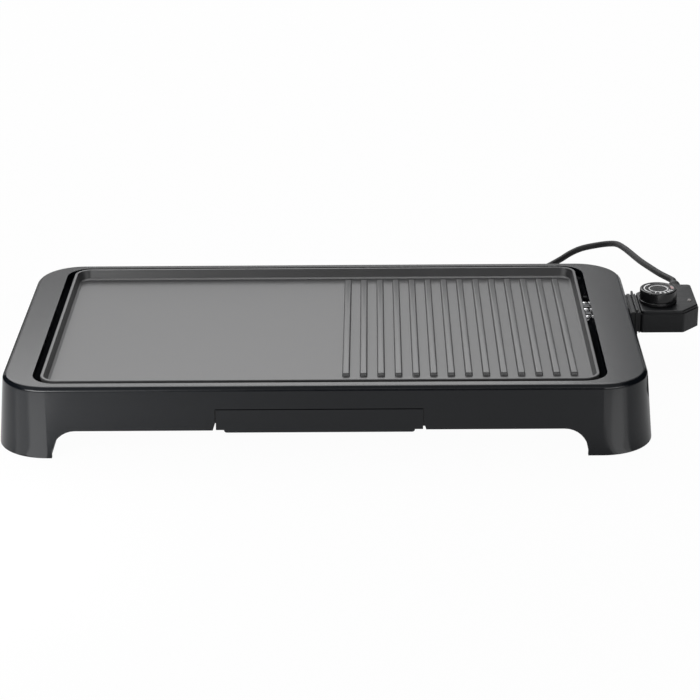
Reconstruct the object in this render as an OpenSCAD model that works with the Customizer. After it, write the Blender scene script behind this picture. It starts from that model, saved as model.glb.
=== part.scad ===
// Electric plancha: a shallow cast cooking plate, half flat and half ribbed, in a low
// four-legged frame. A drip tray slides in below it and a heat controller with a dial
// plugs in at the side. X runs left to right, Y front to back, Z up from the table.

/* [Cooking plate] */
// Width of the plate over its lip
plate_w = 490; // [430:1:540]
// Depth of the plate over its lip
plate_d = 292; // [260:1:330]
// Corner radius of the lip
plate_r = 15; // [12:0.5:24]
// Depth of the tray inside the lip
plate_deep = 9; // [7:0.5:12]
// Thickness of the plate's floor
plate_t = 4.5; // [3.5:0.1:5.5]
// Width of the flat lip
lip_w = 2.8; // [2:0.1:4]
// Height of the lip over the frame's rim
lip_rise = 0.7; // [0:0.1:2]
// How far the inner wall leans in over its height
wall_lean = 1.2; // [0.5:0.1:2]
// Fillet between the floor and the wall
floor_fillet = 3; // [1.5:0.5:4]
// Height of the seat under the plate's edge
seat_h = 1.2; // [0.8:0.1:1.8]
// Number of ribs
rib_n = 14; // [8:1:15]
// Spacing of the ribs
rib_pitch = 15.5; // [12:0.1:16]
// Width of a rib at the floor
rib_w = 6.6; // [4:0.2:8]
// Height of a rib
rib_h = 3; // [2:0.1:4]
// From the last rib's middle to the floor's right edge
rib_margin = 13.6; // [10:0.2:20]
// From the ribs' tips to the floor's front edge
rib_front = 22; // [20:1:40]
// From the ribs' tips to the floor's back edge
rib_back = 11; // [6:1:30]
// Radius of the drain hole
drain_r = 6; // [4:0.5:8]
// Wall of the drain spout
spout_t = 1.5; // [1:0.1:2.5]

/* [Frame] */
// Height of the rim over the table
rim_z = 65; // [60:1:75]
// Gap beside the plate
gap_side = 7; // [5:0.5:10]
// Gap before and behind the plate
gap_front = 4; // [3:0.5:7]
// Width of the left rim
rim_left = 24.7; // [20:0.1:36]
// Width of the right rim
rim_right = 33.3; // [28:0.1:40]
// Width of the front and back rims
rim_front = 7; // [6:0.5:14]
// Corner radius of the rim
rim_r = 39; // [32:1:48]
// Bevel along the rim's edge
bevel = 3; // [1.5:0.5:4]
// Lean of the skirt, in degrees
draft = 5; // [3:0.5:7]
// Wall of the moulding
wall = 2.8; // [2.2:0.1:3.4]
// Depth of the upright flange round the opening
flange_h = 7.6; // [6:0.2:9]
// Thickness of the flange round the opening
flange_t = 2.2; // [1.6:0.1:2.6]
// How far the lip at the flange's foot slopes in under the gap
ledge_in = 7.5; // [5:0.1:8.5]
// Thickness of that lip, measured upright
ledge_t = 2.4; // [1.8:0.1:3]
// Rounding of the rim's edges
edge_r = 1.2; // [0.6:0.1:1.5]
// Height of the skirt's lower edge between the legs
arch_z = 25.6; // [22:0.2:27]
// Radius where a leg meets the skirt's lower edge
arch_r = 21; // [8:1:22]
// Lean of a leg's inner edge, in degrees
leg_lean = 8; // [2:1:14]
// How far the front legs reach in from the opening's edge
leg_in_x = 17.2; // [12:0.2:30]
// How far the side legs reach in from the opening's edge
leg_in_y = 36; // [33:0.5:46]
// Diameter of a rubber foot
foot_d = 18; // [12:1:20]
// How far the feet hold the legs off the table
foot_stand = 1; // [0.6:0.1:2]
// How deep a foot sits in its leg
foot_in = 1.6; // [1:0.1:2]
// Width of a plate rest
rest_w = 14; // [8:1:20]
// Thickness of a plate rest
rest_t = 3; // [2:0.2:4]
// How far a rest reaches under the plate
rest_in = 6; // [4:0.5:8]
// Diameter of a screw boss
boss_d = 8; // [6:0.5:10]

/* [Drip tray] */
// Width of the tray's front panel
tray_w = 180; // [150:1:220]
// Height of the front panel
panel_h = 18; // [14.5:0.2:20]
// Length of the tray behind its panel
tray_len = 138; // [110:1:190]
// Gap round the front panel
panel_gap = 0.8; // [0.5:0.1:1.5]
// How far the finger tongue hangs below the panel
tongue_h = 2.4; // [1.5:0.1:4]
// How far the tongue stops short of the panel's ends
tongue_in = 7; // [4:0.5:14]
// Wall of the tray
tray_t = 1.8; // [1.2:0.1:2.4]
// Width of the tray's runners
runner_w = 5; // [3.5:0.5:6]
// Thickness of the tray's runners
runner_t = 1.2; // [0.8:0.1:1.4]
// Sheet thickness of the rails and the reflector
sheet = 0.8; // [0.6:0.1:1]
// Running clearance of the tray
slip = 0.4; // [0.3:0.05:0.6]

/* [Heater] */
// Diameter of the heating tube
tube_d = 7; // [6:0.1:8]
// Radius of the tube's return bends
bend_r = 37.5; // [33:0.5:40]
// Radius of the tube's left corners
corner_r = 40; // [25:1:44]
// Length of the inner run's left end from the middle
inner_run = 110; // [60:5:150]
// Diameter of a terminal pin
pin_d = 5.2; // [4:0.1:6]
// Distance between the terminal pins
pin_pitch = 37; // [34:0.5:40]
// Diameter of the heat probe
probe_d = 6; // [5:0.1:6.4]
// Wall of the probe's guide tube
guide_t = 0.7; // [0.5:0.1:0.8]
// Running fit between pin and socket, on the radius
pin_fit = 0.06; // [0.02:0.01:0.1]

/* [Controller] */
// Where the controller plugs in, behind the frame's middle
ctrl_y = 70.5; // [45:0.5:78]
// Length of the controller's box, away from the frame
ctrl_len = 57; // [52:1:66]
// From the controller's axis to its front face
ctrl_front = 25.5; // [25:0.5:30]
// From the controller's axis to its back face
ctrl_back = 50; // [42:0.5:54]
// Height of the controller's box
ctrl_h = 21.6; // [20:0.2:25]
// Depth of the box's top below the rim
ctrl_drop = 9; // [8:0.5:11]
// Thickness of the box's lid
lid_h = 3.2; // [2.6:0.1:4]
// How far the lid's side lies behind the box's side
lid_in = 0.4; // [0.2:0.1:0.8]
// Wall of the box
box_t = 2; // [1.6:0.1:2.6]
// Cut of the front corner along X
cut_x = 16; // [8:1:20]
// Cut of the front corner along Y
cut_y = 18; // [8:1:22]
// Cut of the back corner beside the frame, along X
back_cut = 22; // [10:1:26]
// Gap between the frame's side and the box
ctrl_stand = 10.4; // [9:0.2:14]
// Clearance of the nose in the frame's port
port_gap = 0.8; // [0.5:0.1:1.5]
// Diameter of the dial
knob_d = 35.6; // [30:0.2:36]
// Height of the dial
knob_h = 13.6; // [10:0.2:16]
// From the box's near face to the dial's axis
knob_x = 19; // [18.5:0.5:24]
// Diameter of the dial's spindle
spindle_d = 6; // [5:0.1:7]
// Diameter of the pilot light's lens
lens_d = 4; // [3:0.2:5]

/* [Cord] */
// Diameter of the cord
cord_d = 6.4; // [6:0.1:6.6]
// Length of the strain relief outside the box
relief_len = 21; // [20:1:30]
// Step from one loop of the coil to the next
coil_step = 7; // [6.9:0.05:7.4]
// Radius of the coil's inner loop
coil_in = 30; // [28:0.5:34]
// Diameter of the plug's body
plug_d = 36; // [30:1:38]
// Length of the plug's body
plug_len = 34; // [28:1:40]

/* [Hidden] */
$fn = 64;

// Heights
z_lip = rim_z + lip_rise;
z_floor = z_lip - plate_deep;
z_under = z_floor - plate_t;
z_seat = z_under - seat_h;
z_top = rim_z - ctrl_drop;
pin_drop = 9.1;
z_pin = z_top - pin_drop;
z_box = z_top - ctrl_h;
z_split = z_top - lid_h;
refl_drop = 8.9;
z_refl = z_pin - refl_drop;
z_deck = z_refl + sheet;
ear_drop = 4;
z_ear = z_seat - ear_drop;
spout_gap = 1.2;
z_spout = z_refl - spout_gap;
runner_drop = 1.9;
z_runner = z_refl - runner_drop;
panel_up = 0.4;
z_panel = arch_z + panel_up;
pan_up = 1;
z_pan = arch_z + pan_up;

// Plan of the frame: the opening is centred on the origin, the rim is wider on the right
open_w = plate_w + 2 * gap_side;
open_d = plate_d + 2 * gap_front;
open_r = plate_r + gap_side;
x_rim_l = -open_w / 2 - rim_left;
x_rim_r = open_w / 2 + rim_right;
rim_w = x_rim_r - x_rim_l;
rim_cx = (x_rim_l + x_rim_r) / 2;
rim_d = open_d + 2 * rim_front;
function snap(v) = round(v * 100) / 100;
function skirt_u(z) = snap(bevel + (rim_z - bevel - z) * tan(draft));
flare = skirt_u(foot_stand);
skin = snap(wall / cos(draft));
rim_lap = 4;
leg_x = open_w / 2 - leg_in_x;
leg_y = open_d / 2 - leg_in_y;
foot_off = 16;
foot_x = [x_rim_l + rim_r - foot_off, x_rim_r - rim_r + foot_off];
foot_y = rim_d / 2 - rim_r + foot_off;
boss_l = (-open_w / 2 - flange_t + x_rim_l) / 2;
boss_r = (open_w / 2 + flange_t + x_rim_r) / 2;
boss_y = 100;
boss_side = 20;
nose_side = 6.5;
nose_half = pin_pitch / 2 + nose_side;
boss_step = 20;
boss_far = ctrl_y + nose_half + boss_step;
bosses = [[boss_l, -boss_y], [boss_l, boss_y], [boss_r, -boss_y], [boss_r, -boss_side],
    [boss_r, boss_far], [boss_l, -boss_side]];
screw_r = 1.5;
head_r = 3;
head_h = 1.8;
head_gap = 0.2;
head_sink = 0.4;
screw_hex = 2.4;
post_d = 2 * (head_r + head_gap) + 2;
rest_x = 150;
stiff_t = 1.6;
stiff_front = 70;
stiff_mid = 40;
stiff_back = 80;
stiff_port = 20;
stiff_end = 14;
stiff_up = 4;
stiff_h = 9.2;
in_wall = 1.5;
pan_gap = 1;
ledge_drop = 4.2;
z_ledge = z_seat - ledge_drop;
ledge_slope = (rim_z - flange_h - z_ledge) / ledge_in;
ledge_out = snap(rim_z - flange_h - ledge_t + flange_t * ledge_slope);
pin_view = 24;
pin_side = 6;
window_up = 1.2;

// Plan of the drip tray
pan_half = tray_w / 2 - 6;
rail_x = pan_half + runner_w + slip;
tray_back = -rim_d / 2 - bevel + tray_len;
rail_y = -open_d / 2 + pan_gap + 2;
rivet_in = 27;
rivet_y = [rail_y + rivet_in, tray_back - rivet_in];
wedge_h = 6;
cheek_t = 2;
stop_in = 4.5;
stop_gap = 0.5;
rail_flange = 12;
runner_in = 12;
ledge_gap = 1.5;

// Plan of the plate
edge_in = lip_w + wall_lean + floor_fillet;
floor_x = plate_w / 2 - edge_in;
floor_y = plate_d / 2 - edge_in;
rib_x = floor_x - rib_margin;
rib_y0 = -floor_y + rib_front;
rib_y1 = floor_y - rib_back;
drain_in = 3;
drain_gap = 3;
drain_y = -floor_y + drain_in + drain_r;
seat_w = 4;
seat_in = 2;

// Plan of the heater
y_far = ctrl_y + pin_pitch / 2;
y_near = ctrl_y - pin_pitch / 2;
y_mid = y_near - 2 * bend_r;
y_low = y_mid - 2 * bend_r;
tube_in = 15;
x_left = -plate_w / 2 + tube_in + corner_r;
turn_in = 60;
x_turn = plate_w / 2 - turn_in;
end_in = 13;
x_end = plate_w / 2 - end_in;
brk_t = 1.5;
brk_in = 7;
x_brk = plate_w / 2 - brk_in;
brk_half = pin_pitch / 2 + 10;
brk_gap = 0.5;
brk_foot = 9;
brk_foot_w = 24;
ins_r = 3.3;
ins_l = 8;
fit = 0.05;
guide_r = probe_d / 2 + 0.08;
guide_len = 40;
clip_w = 6;
clip_foot = 18;
clip_stem = 2;
clip_far_l = 60;
clip_far_r = 100;
clip_low_l = 120;
clip_low_r = 80;
clip_mid = 40;

// Plan of the controller
x_face = x_rim_r + skirt_u(z_pin);
x_box = x_face + ctrl_stand;
x_out = x_box + ctrl_len;
y_front = ctrl_y - ctrl_front;
y_back = ctrl_y + ctrl_back;
cut_lap = 1.5;
y_cut = ctrl_y + nose_half + cut_lap;
post_in = 7;
post_side = 3;
post_back = 8;
post_mid = 31;
post_far = 35;
post_front = 6;
nose_tip = open_w / 2 + 6;
nose_lap = 2.4;
nose_z0 = z_box + 1;
nose_z1 = z_top - 2;
pin_out = 26;
pin_tip = x_box - pin_out;
sock_in = 3;
sock_x = nose_tip + sock_in;
tail_in = 4;
x_in = x_box + box_t + tail_in;
probe_tip = x_brk + brk_t + 4 - guide_len;
sock_wall = 0.9;
sock_r = pin_d / 2 + pin_fit;
knob_cx = x_box + knob_x;
knob_lift = 0.4;
spin_fit = 0.1;
mech_t = 1.2;
z_bridge = z_split - 2;
blade_l = 24;
blade_drop = 4;
z_knob = z_top + knob_lift;
lens_x = x_out - 7.5;
lens_y = ctrl_y + 2.5;
relief_x = x_box + 43;
relief_z = z_top - 8;
relief_r = 5.8;
clamp_in = 15;
clamp_y = y_back - box_t - clamp_in;
clamp_half = 7.5;
relief_head = 3;
relief_neck = relief_r - 1.2;

// Middle of the whole object without its cord, so that the origin lies under it
org_x = -(x_rim_l - flare + x_out) / 2;

// Cord: the route's points, seen from the frame's own middle
cord_r = cord_d / 2;
coil_c = [132, 216, 0];
coil_turns = 1.375;
coil_lift = 0.7;
coil_layer = 6.9;

relief_end = [relief_x, y_back + relief_len, relief_z];
coil_out = coil_in + coil_step * coil_turns;
coil_from = coil_c + [coil_out, cord_d, coil_lift + cord_r];
route = concat([relief_end, relief_end + [0, 6, 0], relief_end + [0, 12, 0]], [[333.5, 175, 47],
    [326.5, 201, 44.5], [320, 237, 39.5], [315, 280, 33], [311.5, 308, 28.7], [307, 334, 24],
    [300, 349, 19.5], [288, 357.5, 15], [272, 359, 11], [259.5, 353.5, 7.5], [249, 342.5, 5],
    [236, 325.5, 4], [222, 307, 4], [208, 289, 4], [193, 271, 4], [182.5, 257.5, 4], [175.5, 246, 4]],
    [coil_from + [0, 10, 0], coil_from + [0, 5, 0], coil_from]);

function unit(v) = v / norm(v);
function arc(c, r, a0, a1, n) = [for (i = [0 : n]) let (a = a0 + (a1 - a0) * i / n)
    c + r * [cos(a), sin(a)]];

// Slab with a rounded outline, lower face at z
module slab(w, d, r, z, h) {
    translate([-w / 2 + r, -d / 2, z]) cube([w - 2 * r, d, h]);
    for (s = [0, 1]) mirror([s, 0, 0])
        translate([w / 2 - r, -d / 2 + r, z]) cube([r, d - 2 * r, h]);
    for (q = [0 : 3]) translate(corner(w, d, r, q) + [0, 0, z])
        rotate(90 * q) rotate_extrude(angle = 90) square([r, h]);
}
function corner(w, d, r, q) =
    [(q == 0 || q == 3 ? 1 : -1) * (w / 2 - r), (q < 2 ? 1 : -1) * (d / 2 - r), 0];

// Profile of [outward, up] points swept round a rounded rectangle
module sweep_rect(w, d, r, pts) {
    for (s = [-1, 1]) {
        flip = [for (p = pts) [s * p[0], p[1]]];
        translate([-w / 2 + r, s * d / 2, 0]) rotate([90, 0, 90])
            linear_extrude(w - 2 * r) polygon(flip);
        translate([s * w / 2, d / 2 - r, 0]) rotate([90, 0, 0])
            linear_extrude(d - 2 * r) polygon(flip);
    }
    for (q = [0 : 3]) translate(corner(w, d, r, q)) rotate(90 * q)
        rotate_extrude(angle = 90) polygon([for (p = pts) [r + p[0], p[1]]]);
}

// Corner b of a profile, coming from a and going on to c, eased by a short curve
function eased(a, b, c) = let (p = b + edge_r * unit(a - b), q = b + edge_r * unit(c - b))
    [for (k = [0 : 3]) let (t = k / 3, v = (1 - t) * (1 - t) * p + 2 * t * (1 - t) * b + t * t * q)
        [snap(v[0]), snap(v[1])]];

// Arched gap between two legs, as an outline in width and height
function arch(half) = let (
    t = tan(leg_lean),
    cx = half - (arch_z - arch_r) * t - arch_r / cos(leg_lean),
    right = arc([cx, arch_z - arch_r], arch_r, -leg_lean, 90, 9))
    concat([[half + arch_r * t, -arch_r]], right, [for (i = [9 : -1 : 0]) [-right[i][0], right[i][1]]],
        [[-half - arch_r * t, -arch_r]]);

module base_frame() color("#26272a") difference() {
    union() {
        translate([rim_cx, 0, 0]) sweep_rect(rim_w, rim_d, rim_r, concat(
            eased([-rim_lap, rim_z], [0, rim_z], [bevel, rim_z - bevel]),
            eased([0, rim_z], [bevel, rim_z - bevel], [flare, foot_stand]),
            [[flare, foot_stand], [flare - skin, foot_stand],
            [skirt_u(rim_z - wall) - skin, rim_z - wall], [-rim_lap, rim_z - wall],
            [-rim_lap, rim_z]]));
        difference() {
            translate([rim_cx, 0, 0])
                slab(rim_w - 2 * rim_lap, rim_d - 2 * rim_lap, rim_r - rim_lap, rim_z - wall, wall);
            slab(open_w, open_d, open_r, rim_z - wall - 1, wall + 2);
        }
        sweep_rect(open_w, open_d, open_r, [[-ledge_in, z_ledge - ledge_t], [flange_t, ledge_out],
            [flange_t, rim_z - wall], [0, rim_z - wall], [0, rim_z - flange_h], [-ledge_in, z_ledge]]);
        leg_floors();
        plate_rests();
        rim_ribs();
        tray_stops();
        for (b = bosses) translate([b[0], b[1], z_ear])
            cylinder(d = boss_d, h = rim_z - wall - z_ear);
    }
    translate([0, rim_d, 0]) rotate([90, 0, 0]) linear_extrude(2 * rim_d) polygon(arch(leg_x));
    translate([-rim_w, 0, 0]) rotate([90, 0, 90]) linear_extrude(2 * rim_w) polygon(arch(leg_y));
    tray_mouth();
    pin_window();
    translate([open_w / 2 + flange_t + 8, ctrl_y - nose_half - port_gap, nose_z0 - port_gap])
        cube([rim_right + flare, 2 * (nose_half + port_gap), nose_z1 - nose_z0 + 2 * port_gap]);
    for (x = foot_x, s = [-1, 1]) translate([x, s * foot_y, foot_stand - 1])
        cylinder(d = foot_d + 0.1, h = foot_in + 1);
    for (b = bosses) translate([b[0], b[1], z_ear - 1]) cylinder(r = screw_r, h = 9);
}

// Break in the lip, through which the terminal pins and the probe are seen
module pin_window() translate([open_w / 2 - ledge_in - 1, y_near - pin_view, z_refl])
    cube([ledge_in + flange_t + 2, pin_pitch + pin_view + pin_side, rim_z - flange_h + window_up - z_refl]);

// Floors that close the legs and hold the feet
module leg_floors() {
    lap = skirt_u(foot_stand + wall) - skin / 2;
    intersection() {
        translate([rim_cx, 0, 0])
            slab(rim_w + 2 * lap, rim_d + 2 * lap, rim_r + lap, foot_stand, wall);
        for (sx = [0, 1], sy = [0, 1]) mirror([sx, 0, 0]) mirror([0, sy, 0])
            translate([leg_x, leg_y, 0]) cube([rim_w / 2, rim_d / 2, rim_z]);
    }
}

// Shelves that the plate's seat rests on
module plate_rests() {
    reach_x = gap_side + seat_in + rest_in;
    reach_y = gap_front + seat_in + rest_in;
    translate([-open_w / 2 - flange_t, -rest_w / 2, z_seat - rest_t]) {
        cube([flange_t + reach_x, rest_w, rest_t]);
        cube([flange_t, rest_w, rim_z - wall - z_seat + rest_t]);
    }
    for (s = [0, 1], x = [-rest_x, rest_x]) mirror([0, s, 0])
        translate([x - rest_w / 2, open_d / 2 - reach_y, z_seat - rest_t]) {
            cube([rest_w, flange_t + reach_y, rest_t]);
            translate([0, reach_y, 0]) cube([rest_w, flange_t, rim_z - wall - z_seat + rest_t]);
        }
}

// Stiffening ribs under the wide side rims
module rim_ribs() {
    for (y = [-stiff_front, stiff_mid, stiff_back]) translate([x_rim_l - in_wall, y, rim_z - wall - stiff_h])
        cube([rim_left - flange_t + in_wall, stiff_t, stiff_h]);
    for (y = [-stiff_front, stiff_port, boss_far + stiff_end])
        translate([open_w / 2 + flange_t, y, rim_z - wall - stiff_h + stiff_up])
            cube([rim_right - flange_t + in_wall, stiff_t, stiff_h - stiff_up]);
}

// Cheeks beside the tray's mouth, each with a stop that its panel closes against and a slot
// that its runner slides through
module tray_stops() {
    half = tray_w / 2 + panel_gap;
    top = z_panel + panel_h + panel_gap;
    low = arch_z + wedge_h;
    y_wall = -rim_d / 2 - skirt_u(top) + skin / 2;
    y_stop = -rim_d / 2 - skirt_u(top) + skin + stop_gap;
    for (s = [0, 1]) mirror([s, 0, 0]) difference() {
        union() {
            translate([half, y_wall, low]) cube([cheek_t, y_stop + cheek_t - y_wall, top + cheek_t - low]);
            translate([half - stop_in, y_stop, low]) cube([stop_in + cheek_t, cheek_t, top + cheek_t - low]);
        }
        translate([half - stop_in - 1, y_wall - 1, z_runner - runner_t - slip])
            cube([stop_in + 1, y_stop + cheek_t - y_wall + 2, runner_t + 2 * slip]);
    }
}

// Mouth of the drip tray in the front wall, with the small wedges at its lower ends
module tray_mouth() {
    half = tray_w / 2 + panel_gap;
    wedge = 2;
    translate([0, -open_d / 2 - flange_t, 0]) rotate([90, 0, 0]) linear_extrude(rim_d) polygon([
        [-half - wedge, -1], [half + wedge, -1], [half + wedge, arch_z], [half, arch_z + wedge_h],
        [half, z_panel + panel_h + panel_gap], [-half, z_panel + panel_h + panel_gap],
        [-half, arch_z + wedge_h], [-half - wedge, arch_z]]);
}

module rubber_feet() color("#151515")
    for (x = foot_x, s = [-1, 1]) translate([x, s * foot_y, 0]) rotate_extrude()
        polygon([[0, 0], [foot_d / 2 - 1, 0], [foot_d / 2, 1], [foot_d / 2, foot_stand + foot_in],
            [0, foot_stand + foot_in]]);

module reflector() color("#b9bcc0") difference() {
    w = open_w - 2 * pan_gap;
    d = open_d - 2 * pan_gap;
    r = open_r - pan_gap;
    union() {
        slab(w - 2 * sheet, d - 2 * sheet, r - sheet, z_refl, sheet);
        sweep_rect(w, d, r, [[-sheet, z_refl], [0, z_refl], [0, z_ear], [-sheet, z_ear]]);
        for (b = bosses) {
            s = sign(b[0]);
            translate([s * w / 2 - (s < 0 ? abs(b[0]) - w / 2 : 0), b[1] - boss_d / 2, z_ear - sheet])
                cube([abs(b[0]) - w / 2, boss_d, sheet]);
            translate([b[0], b[1], z_ear - sheet]) cylinder(d = boss_d, h = sheet);
        }
    }
    for (b = bosses) translate([b[0], b[1], z_ear - sheet - 1])
        cylinder(r = screw_r + head_gap, h = sheet + 2);
    translate([0, drain_y, z_refl - 1]) cylinder(r = drain_r + spout_t + drain_gap, h = sheet + 2);
    translate([w / 2 - 2, ctrl_y - nose_half - 2, z_deck + 1]) cube([4, 2 * nose_half + 4, z_ear]);
    for (p = concat(brk_holes(), rivets())) translate([p[0], p[1], z_refl - 1])
        cylinder(r = screw_r, h = sheet + 2);
}
function rivets() = [for (s = [-1, 1], y = rivet_y) [s * (rail_x + sheet + rail_flange / 2), y]];
function brk_holes() = [for (s = [-1, 1]) [x_brk - brk_foot / 2, ctrl_y + s * brk_foot_w / 3]];

// Screw from below, tip up, head under the sheet at z
module screw(z, len) {
    translate([0, 0, z]) cylinder(r = screw_r - fit, h = len);
    translate([0, 0, z - head_h]) difference() {
        cylinder(r = head_r, h = head_h);
        translate([0, 0, -0.1]) cylinder(d = screw_hex, h = 1.1, $fn = 6);
    }
}

module reflector_screws() color("#8d8f92")
    for (b = bosses) translate([b[0], b[1], 0]) screw(z_ear - sheet, sheet + 7);

// One unbroken tube: far terminal, round the left end, back, and in to the near terminal
module heating_element() color("#6d675f") translate([0, 0, z_pin]) {
    run(x_left, x_end, y_far);
    bend(x_left, y_far - corner_r, corner_r, 90, 90);
    translate([x_left - corner_r, y_low + corner_r, 0]) rotate([-90, 0, 0])
        cylinder(d = tube_d, h = y_far - y_low - 2 * corner_r);
    bend(x_left, y_low + corner_r, corner_r, 180, 90);
    run(x_left, x_turn, y_low);
    bend(x_turn, y_low + bend_r, bend_r, -90, 180);
    run(-inner_run, x_turn, y_mid);
    bend(-inner_run, y_mid + bend_r, bend_r, 90, 180);
    run(-inner_run, x_end, y_near);
}
module run(x0, x1, y) translate([x0, y, 0]) rotate([0, 90, 0]) cylinder(d = tube_d, h = x1 - x0);
module bend(x, y, r, a0, sweep) translate([x, y, 0]) rotate(a0)
    rotate_extrude(angle = sweep) translate([r, 0]) circle(d = tube_d);

// Saddles that carry the tube on the reflector
module element_clips() color("#a9abad") for (p = [[-clip_far_l, y_far], [clip_far_r, y_far],
    [-clip_low_l, y_low], [clip_low_r, y_low], [clip_mid, y_mid], [clip_mid, y_near]])
    translate([p[0], p[1], 0]) {
    w = clip_w;
    foot = clip_foot;
    stem = clip_stem;
    translate([-w / 2, 0, z_pin]) rotate([0, 90, 0]) difference() {
        union() {
            cylinder(r = tube_d / 2 + sheet, h = w);
            translate([0, -stem / 2, 0]) cube([z_pin - z_deck, stem, w]);
        }
        translate([0, 0, -1]) cylinder(d = tube_d + 2 * fit, h = w + 2);
    }
    translate([-w / 2, -foot / 2, z_deck]) cube([w, foot, sheet]);
}

module terminal_bracket() color("#9b9da0") difference() {
    union() {
        translate([x_brk, ctrl_y - brk_half, z_deck])
            cube([brk_t, 2 * brk_half, z_seat - brk_gap - z_deck]);
        translate([x_brk - brk_foot, ctrl_y - brk_foot_w / 2, z_deck])
            cube([brk_foot + brk_t, brk_foot_w, brk_t]);
    }
    for (y = [y_near, y_far]) translate([x_brk - 1, y, z_pin]) rotate([0, 90, 0])
        cylinder(r = ins_r + fit, h = brk_t + 2);
    translate([x_brk - 1, ctrl_y, z_pin]) rotate([0, 90, 0])
        cylinder(r = guide_r + guide_t + fit, h = brk_t + 2);
    for (p = brk_holes()) translate([p[0], p[1], z_deck - 1]) cylinder(r = screw_r, h = brk_t + 2);
}

module bracket_screws() color("#8d8f92")
    for (p = brk_holes()) translate([p[0], p[1], 0]) screw(z_refl, sheet + brk_t + 1);

// Ceramic sleeves with a collar that stops on the bracket
module pin_insulators() color("#d8d4c8") for (y = [y_near, y_far])
    translate([x_brk + brk_t + 2 - ins_l, y, z_pin]) rotate([0, 90, 0]) difference() {
        union() {
            cylinder(r = ins_r, h = ins_l);
            translate([0, 0, ins_l - 2]) cylinder(r = ins_r + 0.4, h = 2);
        }
        translate([0, 0, -1]) cylinder(d = pin_d + 2 * fit, h = ins_l + 2);
    }

module terminal_pins() color("#9fa1a4") for (y = [y_near, y_far])
    translate([x_end, y, z_pin]) rotate([0, 90, 0]) rotate_extrude() polygon(concat([[0, 0],
        [pin_d / 2, 0]], arc([0, pin_tip - x_end - pin_d / 2], pin_d / 2, 0, 90, 6)));

module probe_guide() color("#c4c6c8") translate([x_brk + brk_t + 1 - guide_len, ctrl_y, z_pin])
    rotate([0, 90, 0]) difference() {
        cylinder(r = guide_r + guide_t, h = guide_len);
        translate([0, 0, -1]) cylinder(r = guide_r, h = guide_len + 2);
    }

// Rail of bent sheet: ledge under the runner, web beside it, flange on the reflector
module rail() {
    x0 = rail_x;
    y0 = rail_y;
    y1 = tray_back + slip;
    low = z_runner - runner_t - slip;
    translate([x0, y0, low - sheet]) cube([sheet, y1 - y0 + sheet, z_refl - low + sheet]);
    ledge = runner_w - ledge_gap;
    translate([x0 - ledge, y0, low - sheet]) cube([ledge, y1 - y0 + sheet, sheet]);
    difference() {
        translate([x0 + sheet, y0, z_refl - sheet]) cube([rail_flange, y1 - y0 + sheet, sheet]);
        for (y = rivet_y) translate([x0 + sheet + rail_flange / 2, y, z_refl - sheet - 1])
            cylinder(r = screw_r, h = sheet + 2);
    }
    translate([x0 - ledge, y1, low]) cube([ledge, sheet, z_runner + slip - low]);
}
module tray_rail_left() color("#b0b3b6") mirror([1, 0, 0]) rail();
module tray_rail_right() color("#b0b3b6") rail();

module rail_rivets() color("#9a9c9f") for (p = rivets()) translate([p[0], p[1], z_refl]) {
    translate([0, 0, -sheet]) cylinder(r = screw_r - fit, h = 2 * sheet);
    for (z = [-2 * sheet, sheet]) translate([0, 0, z]) cylinder(r = head_r - 0.5, h = sheet);
}

// Cast plate: walled tray, drain spout and a row of round-ended ribs
module cooking_plate() color("#57585a") difference() {
    union() {
        sweep_rect(plate_w, plate_d, plate_r, concat([[-seat_in, z_seat], [0, z_lip - 0.6],
            [-0.6, z_lip], [-lip_w, z_lip]],
            arc([-edge_in, z_floor + floor_fillet], floor_fillet, 0, -90, 5),
            [[-edge_in, z_under], [-seat_in - seat_w, z_under], [-seat_in - seat_w, z_seat]]));
        slab(2 * floor_x, 2 * floor_y, plate_r - edge_in, z_under, plate_t);
        for (i = [0 : rib_n - 1]) translate([rib_x - i * rib_pitch, 0, z_floor]) rib();
        translate([0, drain_y, z_spout]) cylinder(r = drain_r + spout_t, h = z_under - z_spout);
    }
    translate([0, drain_y, z_spout - 1]) cylinder(r = drain_r, h = z_floor - z_spout + 2);
}
module rib() {
    h = rib_w / 2;
    side = [[h, -0.5], [h, 0], [h - 0.7, rib_h * 0.64], [h - 1.7, rib_h * 0.93], [h - 2.4, rib_h]];
    translate([0, rib_y1 - h, 0]) rotate([90, 0, 0]) linear_extrude(rib_y1 - rib_y0 - rib_w)
        polygon(concat(side, [for (i = [len(side) - 1 : -1 : 0]) [-side[i][0], side[i][1]]]));
    translate([0, rib_y1 - h, 0]) rotate_extrude(angle = 180) rib_end(side);
    translate([0, rib_y0 + h, 0]) rotate(180) rotate_extrude(angle = 180) rib_end(side);
}
module rib_end(side) polygon(concat([[0, -0.5]], side, [[0, rib_h]]));

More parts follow.
